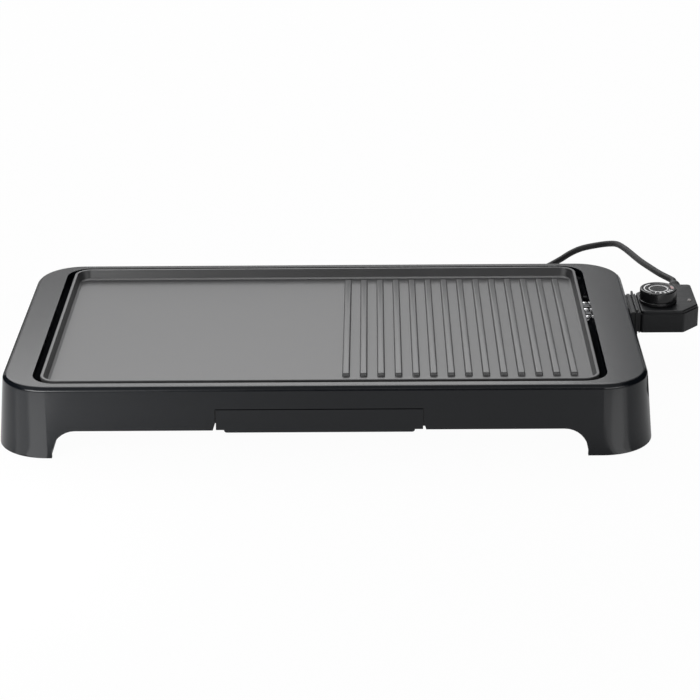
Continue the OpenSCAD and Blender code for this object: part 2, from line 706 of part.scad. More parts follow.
// Tray: a pan on two runners behind a panel that lies flush with the leaning skirt
module drip_tray() color("#2a2b2e") {
    y_at = function (z) -rim_d / 2 - skirt_u(z);
    front = arc([tray_w / 2 - tongue_in - tongue_h, z_panel], tongue_h, -90, 0, 5);
    half = tray_w / 2;
    top = z_panel + panel_h;
    low = z_panel - tongue_h;
    intersection() {
        rotate([90, 0, 90]) translate([0, 0, -half]) linear_extrude(tray_w) polygon([[y_at(low), low],
            [y_at(low) + skin, low], [y_at(top) + skin, top], [y_at(top), top]]);
        rotate([90, 0, 0]) translate([0, 0, rim_d / 4]) linear_extrude(rim_d / 2) polygon(concat(front,
            [[half, z_panel], [half, top], [-half, top], [-half, z_panel]],
            [for (i = [5 : -1 : 0]) [-front[i][0], front[i][1]]]));
    }
    pan_x = pan_half;
    pan_y = y_at((z_pan + z_runner) / 2) + skin / 2;
    len = tray_back - pan_y;
    difference() {
        translate([0, pan_y + len / 2, 0]) slab(2 * pan_x, len, 4, z_pan, z_runner - z_pan);
        translate([0, pan_y + skin / 2 + 0.7 + (len - skin / 2 - 0.7 - tray_t) / 2, 0])
            slab(2 * (pan_x - tray_t), len - skin / 2 - 0.7 - tray_t, 3, z_pan + tray_t, z_runner);
    }
    for (s = [0, 1]) mirror([s, 0, 0])
        translate([pan_x, tray_back - len + runner_in, z_runner - runner_t])
            cube([runner_w, len - 1.5 * runner_in, runner_t]);
}

// Plan of the controller's box, drawn in by e, with two of its corners cut away
function box_plan(e) = round_plan([[x_box + e, y_front + e], [x_out - cut_x - e * 0.5, y_front + e],
    [x_out - e, y_front + cut_y + e * 0.5], [x_out - e, y_back - e],
    [x_box + back_cut + e * 0.5, y_back - e], [x_box + e, y_cut - e * 0.5]], 3 - e * 0.6);
function round_plan(p, r) = [for (i = [0 : len(p) - 1]) let (
    a = unit(p[(i + len(p) - 1) % len(p)] - p[i]), b = unit(p[(i + 1) % len(p)] - p[i]),
    half = acos(a * b) / 2, c = p[i] + unit(a + b) * r / sin(half),
    n = 4, t0 = atan2(-(unit(a + b))[1], -(unit(a + b))[0]) - (90 - half), sweep = 180 - 2 * half)
    for (k = [0 : n]) c + r * [cos(t0 + sweep * k / n), sin(t0 + sweep * k / n)]];

module shell_lower() color("#1d1e21") difference() {
    union() {
        difference() {
            translate([0, 0, z_box]) linear_extrude(z_split - z_box) polygon(box_plan(0));
            translate([0, 0, z_box + box_t]) linear_extrude(ctrl_h) polygon(box_plan(box_t));
        }
        for (p = shell_posts()) translate([p[0], p[1], z_box + 1])
            cylinder(d = post_d, h = z_split - z_box - 1);
    }
    nose_cut();
    translate([relief_x, y_back + 1, relief_z]) rotate([90, 0, 0]) cylinder(r = relief_neck, h = box_t + 2);
    translate([relief_x - relief_neck, y_back - box_t - 1, relief_z])
        cube([2 * relief_neck, box_t + 2, ctrl_h]);
    for (p = shell_posts()) translate([p[0], p[1], z_box - 1]) {
        cylinder(r = screw_r + head_gap, h = ctrl_h);
        cylinder(r = head_r + head_gap, h = 1 + head_h + head_sink);
    }
}
function shell_posts() = [[x_box + back_cut + post_side, y_back - post_back],
    [x_out - post_in, y_back - post_mid], [x_box + post_far, y_front + post_front]];

// Rebate that the connector's rear tongue sits in
module nose_cut() translate([x_box - 1, ctrl_y - nose_half + nose_lap, nose_z0 + 2])
    cube([box_t + 2, 2 * (nose_half - nose_lap), ctrl_h]);

module shell_upper() color("#2c2d30") difference() {
    hull() {
        translate([0, 0, z_split]) linear_extrude(lid_h - 1.4) polygon(box_plan(lid_in));
        translate([0, 0, z_split]) linear_extrude(lid_h - 0.5) polygon(box_plan(lid_in + 0.5));
        translate([0, 0, z_split]) linear_extrude(lid_h) polygon(box_plan(lid_in + 1.6));
    }
    difference() {
        translate([0, 0, z_split - 1]) linear_extrude(lid_h + 1 - box_t) polygon(box_plan(box_t));
        for (p = shell_posts()) translate([p[0], p[1], 0]) cylinder(d = post_d, h = rim_z);
    }
    translate([knob_cx, ctrl_y, z_split - 1]) cylinder(r = spindle_d / 2 + spin_fit, h = lid_h + 2);
    translate([lens_x, lens_y, z_split - 1]) cylinder(d = lens_d + 0.1, h = lid_h + 2);
    for (p = shell_posts()) translate([p[0], p[1], z_split - 1]) cylinder(r = screw_r, h = lid_h);
}

// Connector: a block through the frame's port, with a fin and grooves before the box
module connector_nose() color("#333437") difference() {
    union() {
        translate([nose_tip, ctrl_y - nose_half, nose_z0])
            cube([x_box - nose_tip, 2 * nose_half, nose_z1 - nose_z0]);
        fin(8.4, 3, 0.5, z_box, z_top - 1);
        fin(4.4, 1.8, 1.5, z_box - 1.4, z_top + 1.6);
        fin(1.4, 1.4, 0.5, z_box, z_top - 1);
        translate([x_box, ctrl_y - nose_half + nose_lap + fit, nose_z0 + 2])
            cube([box_t, 2 * (nose_half - nose_lap - fit), z_split - nose_z0 - 2]);
    }
    for (y = [y_near, y_far]) translate([nose_tip - 1, y, z_pin]) rotate([0, 90, 0])
        cylinder(r = sock_r + sock_wall + fit, h = x_box - nose_tip + box_t + 2);
    translate([nose_tip - 1, ctrl_y, z_pin]) rotate([0, 90, 0])
        cylinder(r = probe_d / 2 + fit, h = x_box - nose_tip + box_t + 2);
}

// Collar of thickness t, standing out by e, that starts at x before the box
module fin(x, t, e, z0, z1) translate([x_box - x, ctrl_y - nose_half - e, z0])
    cube([t, 2 * (nose_half + e), z1 - z0]);

// Brass sockets that slide over the terminal pins, with a solder tail inside the box
module contact_sockets() color("#b08d4a") for (y = [y_near, y_far])
    translate([sock_x, y, z_pin]) rotate([0, 90, 0]) difference() {
        cylinder(r = sock_r + sock_wall, h = x_in - sock_x);
        translate([0, 0, -1]) cylinder(r = sock_r, h = pin_tip - sock_x + 4);
    }

module probe_rod() color("#d9dadb") translate([x_in, ctrl_y, z_pin]) rotate([0, -90, 0])
    rotate_extrude() polygon(concat([[0, 0], [probe_d / 2, 0]],
        arc([0, x_in - probe_tip - probe_d / 2], probe_d / 2, 0, 90, 6)));

// Bracket that carries the switch: a floor plate, a wall for the probe and a bridge for the spindle
module thermostat_bracket() color("#a3a5a8") {
    w = 22;
    floor_l = 26;
    low = z_box + box_t;
    difference() {
        translate([x_in, ctrl_y - w / 2, 0]) {
            translate([0, 0, low]) cube([mech_t, w, z_bridge - low]);
            translate([0, 0, low]) cube([floor_l, w, mech_t]);
            translate([0, 0, z_bridge - mech_t]) cube([knob_cx - x_in + spindle_d / 2 + 5, w, mech_t]);
        }
        translate([knob_cx, ctrl_y, z_bridge - 3]) cylinder(r = spindle_d / 2 + spin_fit, h = 6);
    }
}

// Bimetal strip that bends under the spindle's tip
module bimetal_blade() color("#b5a079") translate([x_in + mech_t, ctrl_y - 4, z_pin - blade_drop])
    cube([blade_l, 8, 0.9]);

// Spring contacts from the sockets' tails along the box's sides
module contact_blades() color("#b7924c") for (s = [-1, 1])
    translate([x_in, ctrl_y + s * pin_pitch / 2 - 0.4, z_pin - 3]) cube([blade_l, 0.8, 6]);

module pilot_lens() color("#d98a4a") translate([lens_x, lens_y, z_split]) rotate_extrude()
    polygon(concat([[0, 0], [lens_d / 2, 0]], arc([0, lid_h], lens_d / 2, 0, 90, 5)));

module pilot_lamp() color("#e0a080") translate([lens_x, lens_y, z_split - 0.3]) rotate([180, 0, 0])
    rotate_extrude() polygon(concat([[0, 0], [lens_d / 2 - 0.4, 0]],
        arc([0, z_split - z_box - box_t - 2.1], lens_d / 2 - 0.4, 0, 90, 4)));

module shell_screws() color("#8d8f92") for (p = shell_posts()) translate([p[0], p[1], 0])
    screw(z_box + head_h + head_sink, z_split - z_box - head_h + 1.2);

// Bridge that clamps the cord on the box's floor
module cable_clamp() color("#3b3c3f") translate([relief_x, clamp_y, relief_z]) difference() {
    h = relief_z - z_box - box_t;
    translate([-11, -4, -h]) cube([22, 8, h]);
    translate([0, -5, 0]) rotate([-90, 0, 0]) cylinder(d = cord_d + 2 * fit, h = 10);
    for (s = [-1, 1]) translate([s * clamp_half, 0, 1 - h]) cylinder(r = screw_r, h = relief_z);
}
module clamp_screws() color("#8d8f92") for (s = [-1, 1])
    translate([relief_x + s * clamp_half, clamp_y, relief_z]) rotate([180, 0, 0]) screw(0, 7);

// Tapered sleeve moulded on the sheath, with a groove that the box's wall holds and three
// flex grooves outside; the sheath's inner end reaches to the clamp
module strain_relief() color("#1a1a1c") translate([relief_x, y_back, relief_z]) rotate([-90, 0, 0])
    rotate_extrude() {
        sheath = y_back - clamp_y;
        translate([0, -sheath]) square([cord_r, sheath]);
        translate([0, -box_t - relief_head]) square([relief_r, relief_head - fit]);
        translate([0, -box_t - relief_head]) square([relief_neck - fit, box_t + relief_head + 1]);
        difference() {
            polygon([[0, fit], [relief_r, fit], [relief_r, relief_len * 2 / 3],
                [cord_r + 0.6, relief_len], [0, relief_len]]);
            for (k = [0.15, 0.33, 0.5]) translate([relief_r - 1.1, k * relief_len]) square([2, 1.5]);
        }
    }

// Tubes: rings of points square to a path, joined by triangles
function spline(a, b, c, d, t) = 0.5 * (2 * b + (c - a) * t + (2 * a - 5 * b + 4 * c - d) * t * t
    + (3 * b - a - 3 * c + d) * t * t * t);
function smooth(p, n) = concat([for (i = [0 : len(p) - 2], k = [0 : n - 1])
    spline(p[max(i - 1, 0)], p[i], p[i + 1], p[min(i + 2, len(p) - 1)], k / n)], [p[len(p) - 1]]);
module tube(path, r, sides) {
    n = len(path);
    pts = [for (i = [0 : n - 1]) let (d = unit(path[min(i + 1, n - 1)] - path[max(i - 1, 0)]),
        u = unit(cross(d, [0, 0, 1])), v = cross(u, d))
        for (k = [0 : sides - 1]) path[i] + r * (cos(360 * k / sides) * u + sin(360 * k / sides) * v)];
    quads = [for (i = [0 : n - 2], k = [0 : sides - 1]) let (a = i * sides, b = (k + 1) % sides)
        [a + k, a + b, a + sides + b, a + sides + k]];
    polyhedron(pts, concat([for (q = quads) each [[q[0], q[1], q[2]], [q[0], q[2], q[3]]]],
        [for (k = [1 : sides - 2]) [0, k + 1, k]],
        [for (k = [1 : sides - 2]) [(n - 1) * sides, (n - 1) * sides + k, (n - 1) * sides + k + 1]]));
}

// Coil: in by one step a loop on the table, up a layer in half a turn, and out again on top
coil_end = 2 * coil_turns + 0.5;
coil_rings = 24;
function ease(t) = t * t * (3 - 2 * t);
function coil_r(t) = t < coil_turns ? coil_out - coil_step * t
    : t < coil_turns + 0.5 ? coil_in - 1.4 * sin(360 * (t - coil_turns))
    : coil_in + coil_step * (t - coil_turns - 0.5);
function coil_z(t) = coil_lift + cord_r + coil_layer * (t < coil_turns ? 0
    : t < coil_turns + 0.5 ? ease((t - coil_turns) * 2) : 1);
function coil_at(t) = coil_c + [coil_r(t) * cos(-360 * t), coil_r(t) * sin(-360 * t), coil_z(t)];
coil_body = [for (i = [0 : coil_end * coil_rings]) coil_at(i / coil_rings)];
coil_last = len(coil_body) - 1;
coil_path = concat([coil_body[0] + [0, cord_d, 0]], coil_body, [coil_body[coil_last] - [cord_d, 0, 0]]);
coil_gap = min([for (i = [0 : coil_last], j = [i + 8 : 1 : coil_last])
    norm(coil_body[i] - coil_body[j])]) - cord_d;
echo("least gap of the coil to itself", coil_gap);  // cord_coil

module cord_free() color("#4a4b4d") tube(smooth(route, 2), cord_r, 10);
module cord_coil() color("#4a4b4d") tube(coil_path, cord_r, 6);

tail_from = coil_path[coil_last + 2];
plug_z = plug_d / 2 - tail_from[2];
tail = [for (p = [[0, 0, 0], [-6, 0, 0], [-12, 0, 0], [-28, 6, 0.35], [-44, 14, 0.8], [-58, 18, 1],
    [-64, 18, 1], [-70, 18, 1]]) tail_from + [p[0], p[1], p[2] * plug_z]];
module cord_tail() color("#4a4b4d") tube(smooth(tail, 2), cord_r, 10);

// Flat strap round the coil's strands
module cord_tie() color("#2b2b2d") translate(coil_c + [0, -(coil_in + coil_out) / 2, 0]) {
    w = coil_out - coil_in + cord_d + 1.6;
    h = coil_lift + cord_d + coil_layer + 0.6;
    t = 0.5;
    translate([-5, -w / 2, 0]) difference() {
        cube([10, w, h + t]);
        translate([-1, t, t]) cube([12, w - 2 * t, h - t]);
    }
}

// Plug lying on its side: a round grip on a tapered neck, and two round pins
plug_at = tail[len(tail) - 1];
neck_len = 24;
module plug_body() color("#1c1c1e") translate(plug_at) rotate([0, -90, 0]) difference() {
    rotate_extrude() polygon([[0, 0], [cord_r + 0.8, 0], [cord_r + 2.6, neck_len - 6], [11, neck_len],
        [plug_d / 2 - 5, neck_len + 6], [plug_d / 2 - 3.5, neck_len + 12], [plug_d / 2 - 1, neck_len + 16],
        [plug_d / 2, neck_len + 18], [plug_d / 2, neck_len + plug_len - 1],
        [plug_d / 2 - 1, neck_len + plug_len], [0, neck_len + plug_len]]);
    for (s = [-1, 1]) translate([s * (plug_d / 2 + 1.5), 0, neck_len + plug_len - 9])
        cube([5, 7, 20], center = true);
}
module plug_pins() color("#c9cacc") for (s = [-1, 1])
    translate(plug_at + [-neck_len - plug_len, s * 9.5, 0]) rotate([0, -90, 0]) rotate_extrude()
        polygon(concat([[0, 0], [2.4, 0]], arc([0, 16.6], 2.4, 0, 90, 5)));

// Dial: a smooth drum with a seam, a sunk ring on top, and a hub inside
module dial_knob() color("#1b1c1e") translate([knob_cx, ctrl_y, z_knob]) difference() {
    k = knob_d / 2;
    rotate_extrude() polygon([[spindle_d / 2 + 0.02, 1], [6, 1], [6, knob_h - 3], [k - 2, knob_h - 4],
        [k - 2, 0], [k - 0.3, 0], [k, 0.3], [k, 3], [k - 0.5, 3.4], [k - 0.5, 3.9], [k - 0.1, 4.2],
        [k - 0.4, knob_h - 0.6], [k - 1, knob_h], [k - 4.2, knob_h], [k - 4.5, knob_h - 0.3],
        [k - 9, knob_h - 0.3], [k - 9.3, knob_h - 0.6], [0, knob_h - 0.6], [0, knob_h - 2],
        [spindle_d / 2 + 0.02, knob_h - 2]]);
    rotate(200) translate([k - 1, -0.5, 4.2]) cube([2, 1, knob_h]);
}

// Spindle with a collar under the bridge and a flat on its upper end
module knob_spindle() color("#b9babd") translate([knob_cx, ctrl_y, 0]) {
    translate([0, 0, z_pin - 2.6]) cylinder(d = spindle_d, h = z_knob + knob_h - 2.4 - z_pin + 2.6);
    translate([0, 0, z_pin - 1.4]) cylinder(d = spindle_d + 2, h = 1.2);
}

module place() translate([org_x, 0, 0]) children();

place() base_frame();
place() rubber_feet();
place() reflector();
place() reflector_screws();
place() heating_element();
place() element_clips();
place() terminal_bracket();
place() bracket_screws();
place() pin_insulators();
place() terminal_pins();
place() probe_guide();
place() tray_rail_left();
place() tray_rail_right();
place() rail_rivets();
place() cooking_plate();
place() drip_tray();
place() shell_lower();
place() shell_upper();
place() connector_nose();
place() contact_sockets();
place() probe_rod();
place() thermostat_bracket();
place() bimetal_blade();
place() contact_blades();
place() pilot_lens();
place() pilot_lamp();
place() shell_screws();
place() cable_clamp();
place() clamp_screws();
place() strain_relief();
place() cord_free();
place() cord_coil();
place() cord_tail();
place() cord_tie();
place() plug_body();
place() plug_pins();
place() dial_knob();
place() knob_spindle();
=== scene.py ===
# %% [markdown]
# # An electric plancha
# A low table cooker: a cast plate in a black moulded frame, a drip tray in front, and a plug-in heat
# controller with a dial at the right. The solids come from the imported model, which stays as it is.
# This script gives every solid its finish, and makes anew the few pieces that want rounder or finer forms
# than the solids have: the cord with its strap, relief and plug, the controller's lid, the pilot dome, the
# dial and its marks, the pan's wall, the tops of the ribs and the cheeks of the tray's mouth.

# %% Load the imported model
import math

import bpy
import numpy as np
from mathutils import Matrix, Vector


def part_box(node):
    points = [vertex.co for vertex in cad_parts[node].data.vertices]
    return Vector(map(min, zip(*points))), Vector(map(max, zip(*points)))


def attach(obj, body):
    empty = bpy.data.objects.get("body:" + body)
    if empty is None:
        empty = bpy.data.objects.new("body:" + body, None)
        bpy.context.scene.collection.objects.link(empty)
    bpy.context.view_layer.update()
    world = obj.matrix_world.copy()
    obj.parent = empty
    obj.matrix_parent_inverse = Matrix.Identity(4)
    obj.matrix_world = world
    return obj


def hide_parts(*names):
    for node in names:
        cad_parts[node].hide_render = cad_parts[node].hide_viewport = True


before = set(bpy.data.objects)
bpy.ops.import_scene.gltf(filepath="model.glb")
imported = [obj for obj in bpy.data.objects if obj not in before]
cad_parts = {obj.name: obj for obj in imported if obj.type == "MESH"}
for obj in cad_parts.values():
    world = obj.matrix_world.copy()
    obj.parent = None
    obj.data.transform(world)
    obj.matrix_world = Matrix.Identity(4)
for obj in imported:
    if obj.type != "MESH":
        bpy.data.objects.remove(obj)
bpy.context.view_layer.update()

# %% [markdown]
# ## The camera
# The camera was worked out once from the photograph: a long lens, two metres away, looking down at about
# 21 degrees. A camera looks along its own -Z with +Y up, so its matrix is made of three directions:
# right, up and back. Building the matrix is surer here than aiming with a constraint, because the
# photograph is also turned a little about the line of sight.

# %% Camera
CAMERA_AT = (0.0122, -2.0375, 0.83665)
LENS_PX = 2350.0
IMAGE_PX = 700.0
SENSOR_MM = 36.0
FAR_CLIP = 50
PITCH = 0.3744
YAW = -0.0112
ROLL = 0.0098


def new_object(name, data):
    """An object that shows some data, linked into the scene."""
    made = bpy.data.objects.new(name, data)
    bpy.context.scene.collection.objects.link(made)
    return made


def placed(right, up, back, at):
    """A matrix whose columns are three directions and a place."""
    columns = np.column_stack([right, up, back, at])
    return Matrix([list(row) for row in np.vstack([columns, [0, 0, 0, 1]])])


def camera_matrix(at, pitch, yaw, roll):
    """The line of sight is turned by yaw and dipped by pitch, and right and down are then turned about
    it by roll."""
    sight = np.array([math.sin(yaw) * math.cos(pitch), math.cos(yaw) * math.cos(pitch), -math.sin(pitch)])
    level = np.array([math.cos(yaw), -math.sin(yaw), 0.0])
    down = np.cross(sight, level)
    right = math.cos(roll) * level + math.sin(roll) * down
    up = math.sin(roll) * level - math.cos(roll) * down
    return placed(right, up, -sight, at)


camera_data = bpy.data.cameras.new("photo_camera")
camera_data.sensor_width = SENSOR_MM
camera_data.lens = LENS_PX / IMAGE_PX * SENSOR_MM
camera_data.clip_end = FAR_CLIP
camera = new_object("photo_camera", camera_data)
camera.matrix_world = camera_matrix(CAMERA_AT, PITCH, YAW, ROLL)
bpy.context.scene.camera = camera
print("lens:", round(camera_data.lens, 2), "mm")

# %% [markdown]
# ## Helpers for surfaces
# Every new piece is one of two kinds of surface: rings of points that follow each other, closed by a fan
# at each end, or a profile carried round a closed path. Extruding and spinning by hand would do it too,
# but whole arrays keep each shape as a formula that can be read and changed. A surface whose faces look
# inward has a negative volume, so the sign of the volume tells when to flip.

# %% Faces of a band


def quads(rows, columns):
    """Each point joins its neighbour in the ring and the two below, and the ring closes on itself."""
    i, j = np.meshgrid(np.arange(rows - 1), np.arange(columns), indexing="ij")
    k = (j + 1) % columns
    return np.stack([i * columns + j, i * columns + k, (i + 1) * columns + k, (i + 1) * columns + j], -1)


def outward(points, faces):
    """Flips all the faces if the volume, summed over a fan of each face, comes out negative."""
    a, b, c, d = (points[faces[:, corner]] for corner in range(4))
    volume = np.einsum("ij,ij->i", a, np.cross(b, c)) + np.einsum("ij,ij->i", a, np.cross(c, d))
    return faces[:, ::-1] if volume.sum() < 0 else faces


print("faces between 3 rings of 8 points:", quads(3, 8).size // 4)

# %% Rings into a mesh
SMOOTH_DEG = 35


def make_object(name, points, face_lists, smooth_deg=SMOOTH_DEG):
    """A mesh object at the origin, smooth except over edges sharper than smooth_deg."""
    mesh = bpy.data.meshes.new(name)
    mesh.from_pydata(points.tolist(), [], [face for faces in face_lists for face in faces.tolist()])
    mesh.polygons.foreach_set("use_smooth", np.ones(len(mesh.polygons), bool))
    mesh.set_sharp_from_angle(angle=math.radians(smooth_deg))
    mesh.update()
    return new_object(name, mesh)


def ringed(name, rings):
    """A closed piece of rings [count, points, 3] whose two ends are fans round the end rings' middles."""
    count, around, _ = rings.shape
    points = np.vstack([rings.reshape(-1, 3), rings[0].mean(0), rings[-1].mean(0)])
    step = np.arange(around)
    last = (count - 1) * around
    first_fan = np.stack([np.full(around, count * around), (step + 1) % around, step], -1)
    last_fan = np.stack([np.full(around, count * around + 1), last + step, last + (step + 1) % around], -1)
    walls = quads(count, around).reshape(-1, 4)
    flipped = not np.array_equal(outward(points, walls), walls)
    lists = [walls, first_fan, last_fan]
    return make_object(name, points, [part[:, ::-1] if flipped else part for part in lists])


def looped(name, rings, smooth_deg=SMOOTH_DEG):
    """A closed band: the last ring joins the first, so it has no ends."""
    count, around, _ = rings.shape
    points = rings.reshape(-1, 3)
    faces = quads(count + 1, around).reshape(-1, 4) % (count * around)
    return make_object(name, points, [outward(points, faces)], smooth_deg)


print("edges stay sharp past", SMOOTH_DEG, "degrees")

# %% Softened lines and turned shapes


def soften(points, radius, steps=6):
    """Rounds the inner corners of a line: each corner becomes a short parabola between the points
    that lie radius before and after it, or half an edge where the edge is shorter."""
    points = np.asarray(points, float)
    corner, before, after = points[1:-1], points[:-2] - points[1:-1], points[2:] - points[1:-1]
    size_b, size_a = np.linalg.norm(before, axis=1), np.linalg.norm(after, axis=1)
    start = corner + before * (np.minimum(radius, size_b / 2) / size_b)[:, None]
    end = corner + after * (np.minimum(radius, size_a / 2) / size_a)[:, None]
    t = np.linspace(0, 1, steps)[None, :, None]
    bend = (1 - t) ** 2 * start[:, None] + 2 * t * (1 - t) * corner[:, None] + t ** 2 * end[:, None]
    return np.vstack([points[:1], bend.reshape(-1, points.shape[1]), points[-1:]])


def lathe(profile, centre, axis, around):
    """Rings of a profile of (radius, height) turned about a line through centre along one axis."""
    turn = np.linspace(0, 2 * np.pi, around, endpoint=False)
    radius, height = np.asarray(profile, float).T
    x = radius[:, None] * np.cos(turn)
    y = radius[:, None] * np.sin(turn)
    z = np.broadcast_to(height[:, None], x.shape)
    order = {"z": (x, y, z), "y": (x, z, y), "-x": (-z, x, y)}[axis]
    return np.stack(order, -1) + np.asarray(centre, float)


print("points of one softened corner:", len(soften([(0, 0), (1, 0), (1, 1)], 0.1)) - 2)

# %% [markdown]
# ## The mains cord
# The cord leaves the controller's back through its strain relief, goes back and down to the table, and
# turns in behind the frame, where the rest of it lies coiled and tied. Drawn by hand, its length would be
# left to chance. Here the route's points are those of the solid, a smooth line runs through them, and the
# coil comes from a formula, so the length is known.

# %% Cord route
CORD_D = 0.0064
LINE_STEPS = 6
ROUTE = np.array([
    (0.3335, 0.175, 0.047), (0.3265, 0.201, 0.0445), (0.320, 0.237, 0.0395), (0.315, 0.280, 0.033),
    (0.3115, 0.308, 0.0287), (0.307, 0.334, 0.024), (0.300, 0.349, 0.0195), (0.288, 0.3575, 0.015),
    (0.272, 0.359, 0.011), (0.2595, 0.3535, 0.0075), (0.249, 0.3425, 0.005), (0.236, 0.3255, 0.004),
    (0.222, 0.307, 0.004), (0.208, 0.289, 0.004), (0.193, 0.271, 0.004), (0.1825, 0.2575, 0.004),
    (0.1755, 0.246, 0.004)])  # from the plate's middle line
TAIL = np.array([
    (0, 0, 0), (-0.006, 0, 0), (-0.012, 0, 0), (-0.028, 0.006, 0.35), (-0.044, 0.014, 0.8),
    (-0.058, 0.018, 1), (-0.064, 0.018, 1), (-0.070, 0.018, 1)])  # from the coil's end; z is a share


def smooth_line(points):
    """Between two points runs a cubic whose slope at each of them is half the way from the point before
    it to the point after it."""
    ends = np.vstack([points[:1], points, points[-1:]])
    a, b, c, d = ends[:-3], ends[1:-2], ends[2:-1], ends[3:]
    t = np.linspace(0, 1, LINE_STEPS, endpoint=False)[:, None, None]
    bend = (2 * a - 5 * b + 4 * c - d) * t ** 2 + (3 * b - a - 3 * c + d) * t ** 3
    line = 0.5 * (2 * b + (c - a) * t + bend)
    return np.vstack([line.transpose(1, 0, 2).reshape(-1, 3), points[-1:]])


plate_low, plate_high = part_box("cooking_plate")
middle_x = (plate_low.x + plate_high.x) / 2
relief_low, relief_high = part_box("strain_relief")
cord_exit = np.array([(relief_low.x + relief_high.x) / 2, relief_high.y, (relief_low.z + relief_high.z) / 2])
print("the cord leaves its relief at", cord_exit.round(4).tolist())

# %% Cord coil
COIL_MIDDLE = np.array([0.132 + middle_x, 0.216, 0.0])
COIL_IN = 0.030  # radius of the inmost turn
COIL_STEP = 0.007  # from one turn to the next
COIL_TURNS = 1.375  # in each of the two layers
COIL_LIFT = 0.0007  # the strap under the coil
COIL_LAYER = 0.0069
COIL_DIP = 0.0014  # how far the strand draws in while it climbs
COIL_POINTS = 48  # a turn


def coil_line():
    """In by one step a turn on the table, up one layer in the half turn where it reverses, out on top."""
    end = 2 * COIL_TURNS + 0.5
    t = np.linspace(0, end, int(round(end * COIL_POINTS)) + 1)
    climb = np.clip((t - COIL_TURNS) * 2, 0, 1)
    dip = COIL_DIP * np.sin(np.pi * climb)
    outer = np.minimum(t, COIL_TURNS)
    back = np.maximum(t - COIL_TURNS - 0.5, 0)
    radius = COIL_IN + COIL_STEP * (COIL_TURNS - outer + back) - dip
    height = COIL_LIFT + CORD_D / 2 + COIL_LAYER * climb ** 2 * (3 - 2 * climb)
    turn = -2 * np.pi * t
    return COIL_MIDDLE + np.stack([radius * np.cos(turn), radius * np.sin(turn), height], -1)


coil = coil_line()
print("coil points:", len(coil))

# %% Cord line
STRAIGHT_OUT = [0, 0.006, 0.012]
LEAD_IN = [0.010, 0.005, 0]
coil_in = coil[0] + [0, CORD_D, 0]
straight = np.outer(STRAIGHT_OUT, [0, 1, 0]) + cord_exit
lead_in = coil_in + np.outer(LEAD_IN, [0, 1, 0])
free = smooth_line(np.vstack([straight, ROUTE + [middle_x, 0, 0], lead_in]))
tail_from = coil[-1] - [CORD_D, 0, 0]
plug_low, plug_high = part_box("plug_body")
plug_axis_z = (plug_low.z + plug_high.z) / 2
tail = smooth_line(tail_from + TAIL * [1, 1, plug_axis_z - tail_from[2]])
cord_line = np.vstack([free, coil, tail])

# %% [markdown]
# ### The cord's sheath
# One open curve with a round bevel makes the sheath. A curve's box grows by the radius of its points, so
# the points carry the cord's real radius and the bevel is 1, which keeps the box true.

# %% Cord as a curve
cord_curve = bpy.data.curves.new("mains_cord", "CURVE")
cord_curve.dimensions = "3D"
cord_curve.bevel_depth = 1.0
cord_curve.bevel_resolution = 6
cord_curve.use_fill_caps = True
cord_spline = cord_curve.splines.new("POLY")
cord_spline.points.add(len(cord_line) - 1)
cord_spline.points.foreach_set("co", np.column_stack([cord_line, np.ones(len(cord_line))]).ravel())
cord_spline.points.foreach_set("radius", np.full(len(cord_line), CORD_D / 2))
cord_spline.use_smooth = True
cord = new_object("mains_cord", cord_curve)
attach(cord, "controller")
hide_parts("cord_free", "cord_coil", "cord_tail")
print("cord thickness:", CORD_D * 1000, "mm")

# %% [markdown]
# ## The strap, the strain relief and the plug
# The strap is a flat band with rounded edges, carried round a rounded rectangle that encloses the coil's
# strands. The relief and the plug are turned shapes: a profile of radii and heights spun about the
# cord's own line, which gives their rings and grooves in one go. The plug's grip is then pressed in a
# little on two sides, as fingers hold it.

# %% Coil strap
STRAP_T = 0.0005
STRAP_R = 0.0030
STRAP_EDGE = 0.9  # roundness of the strip's edges


def rounded_frame(half_w, half_h, r, steps=8):
    """Points and outward directions round a rectangle whose corners are quarter circles of radius r."""
    angle = np.linspace(0, np.pi / 2, steps)
    quarter = np.arange(4)[:, None] * np.pi / 2 + angle
    sign_x = np.array([1, -1, -1, 1])[:, None]
    sign_y = np.array([1, 1, -1, -1])[:, None]
    out = np.stack([np.cos(quarter), np.sin(quarter)], -1)
    at = np.stack([sign_x * (half_w - r) + r * out[..., 0], sign_y * (half_h - r) + r * out[..., 1]], -1)
    return at.reshape(-1, 2), out.reshape(-1, 2)


def strap_band(low, high):
    """A thin rounded strip, wide along X, carried round the frame in Y and Z, just inside the box."""
    half = (high - low) / 2
    middle = (high + low) / 2
    at, out = rounded_frame(half[1] - STRAP_T / 2, half[2] - STRAP_T / 2, STRAP_R)
    section, _ = rounded_frame(half[0], STRAP_T / 2, STRAP_T / 2 * STRAP_EDGE, 4)
    ring = at[:, None, :] + out[:, None, :] * section[None, :, 1:2]
    across = np.broadcast_to(section[None, :, 0], ring.shape[:2])
    return np.stack([across, ring[..., 0], ring[..., 1]], -1) + middle


tie_low, tie_high = (np.array(corner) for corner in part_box("cord_tie"))
strap = looped("coil_strap", strap_band(tie_low, tie_high))
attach(strap, "controller")
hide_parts("cord_tie")
print("strap faces:", len(strap.data.polygons))

# %% Strain relief
RELIEF_R = float(relief_high.x - relief_low.x) / 2
RELIEF_CORE = 0.0015
RELIEF_TIP = 0.0006  # wall at the tip
RELIEF_FULL = 2 / 3  # share of the length at full radius
RELIEF_HEAD = np.array([(0.0001, -0.0049), (0.0001, -0.0021), (0.0014, -0.0020), (0.0014, 0.0001),
                        (0, 0.0002)])  # inside the sleeve's radius, and out of the box's wall
GROOVE = np.array([(0, 0), (0.0011, 0.0002), (0.0011, 0.0013), (0, 0.0015)])  # depth, and way along
GROOVE_SHARES = np.array([0.15, 0.33, 0.5])
shell_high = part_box("shell_lower")[1]
relief_out = float(relief_high.y - shell_high.y)


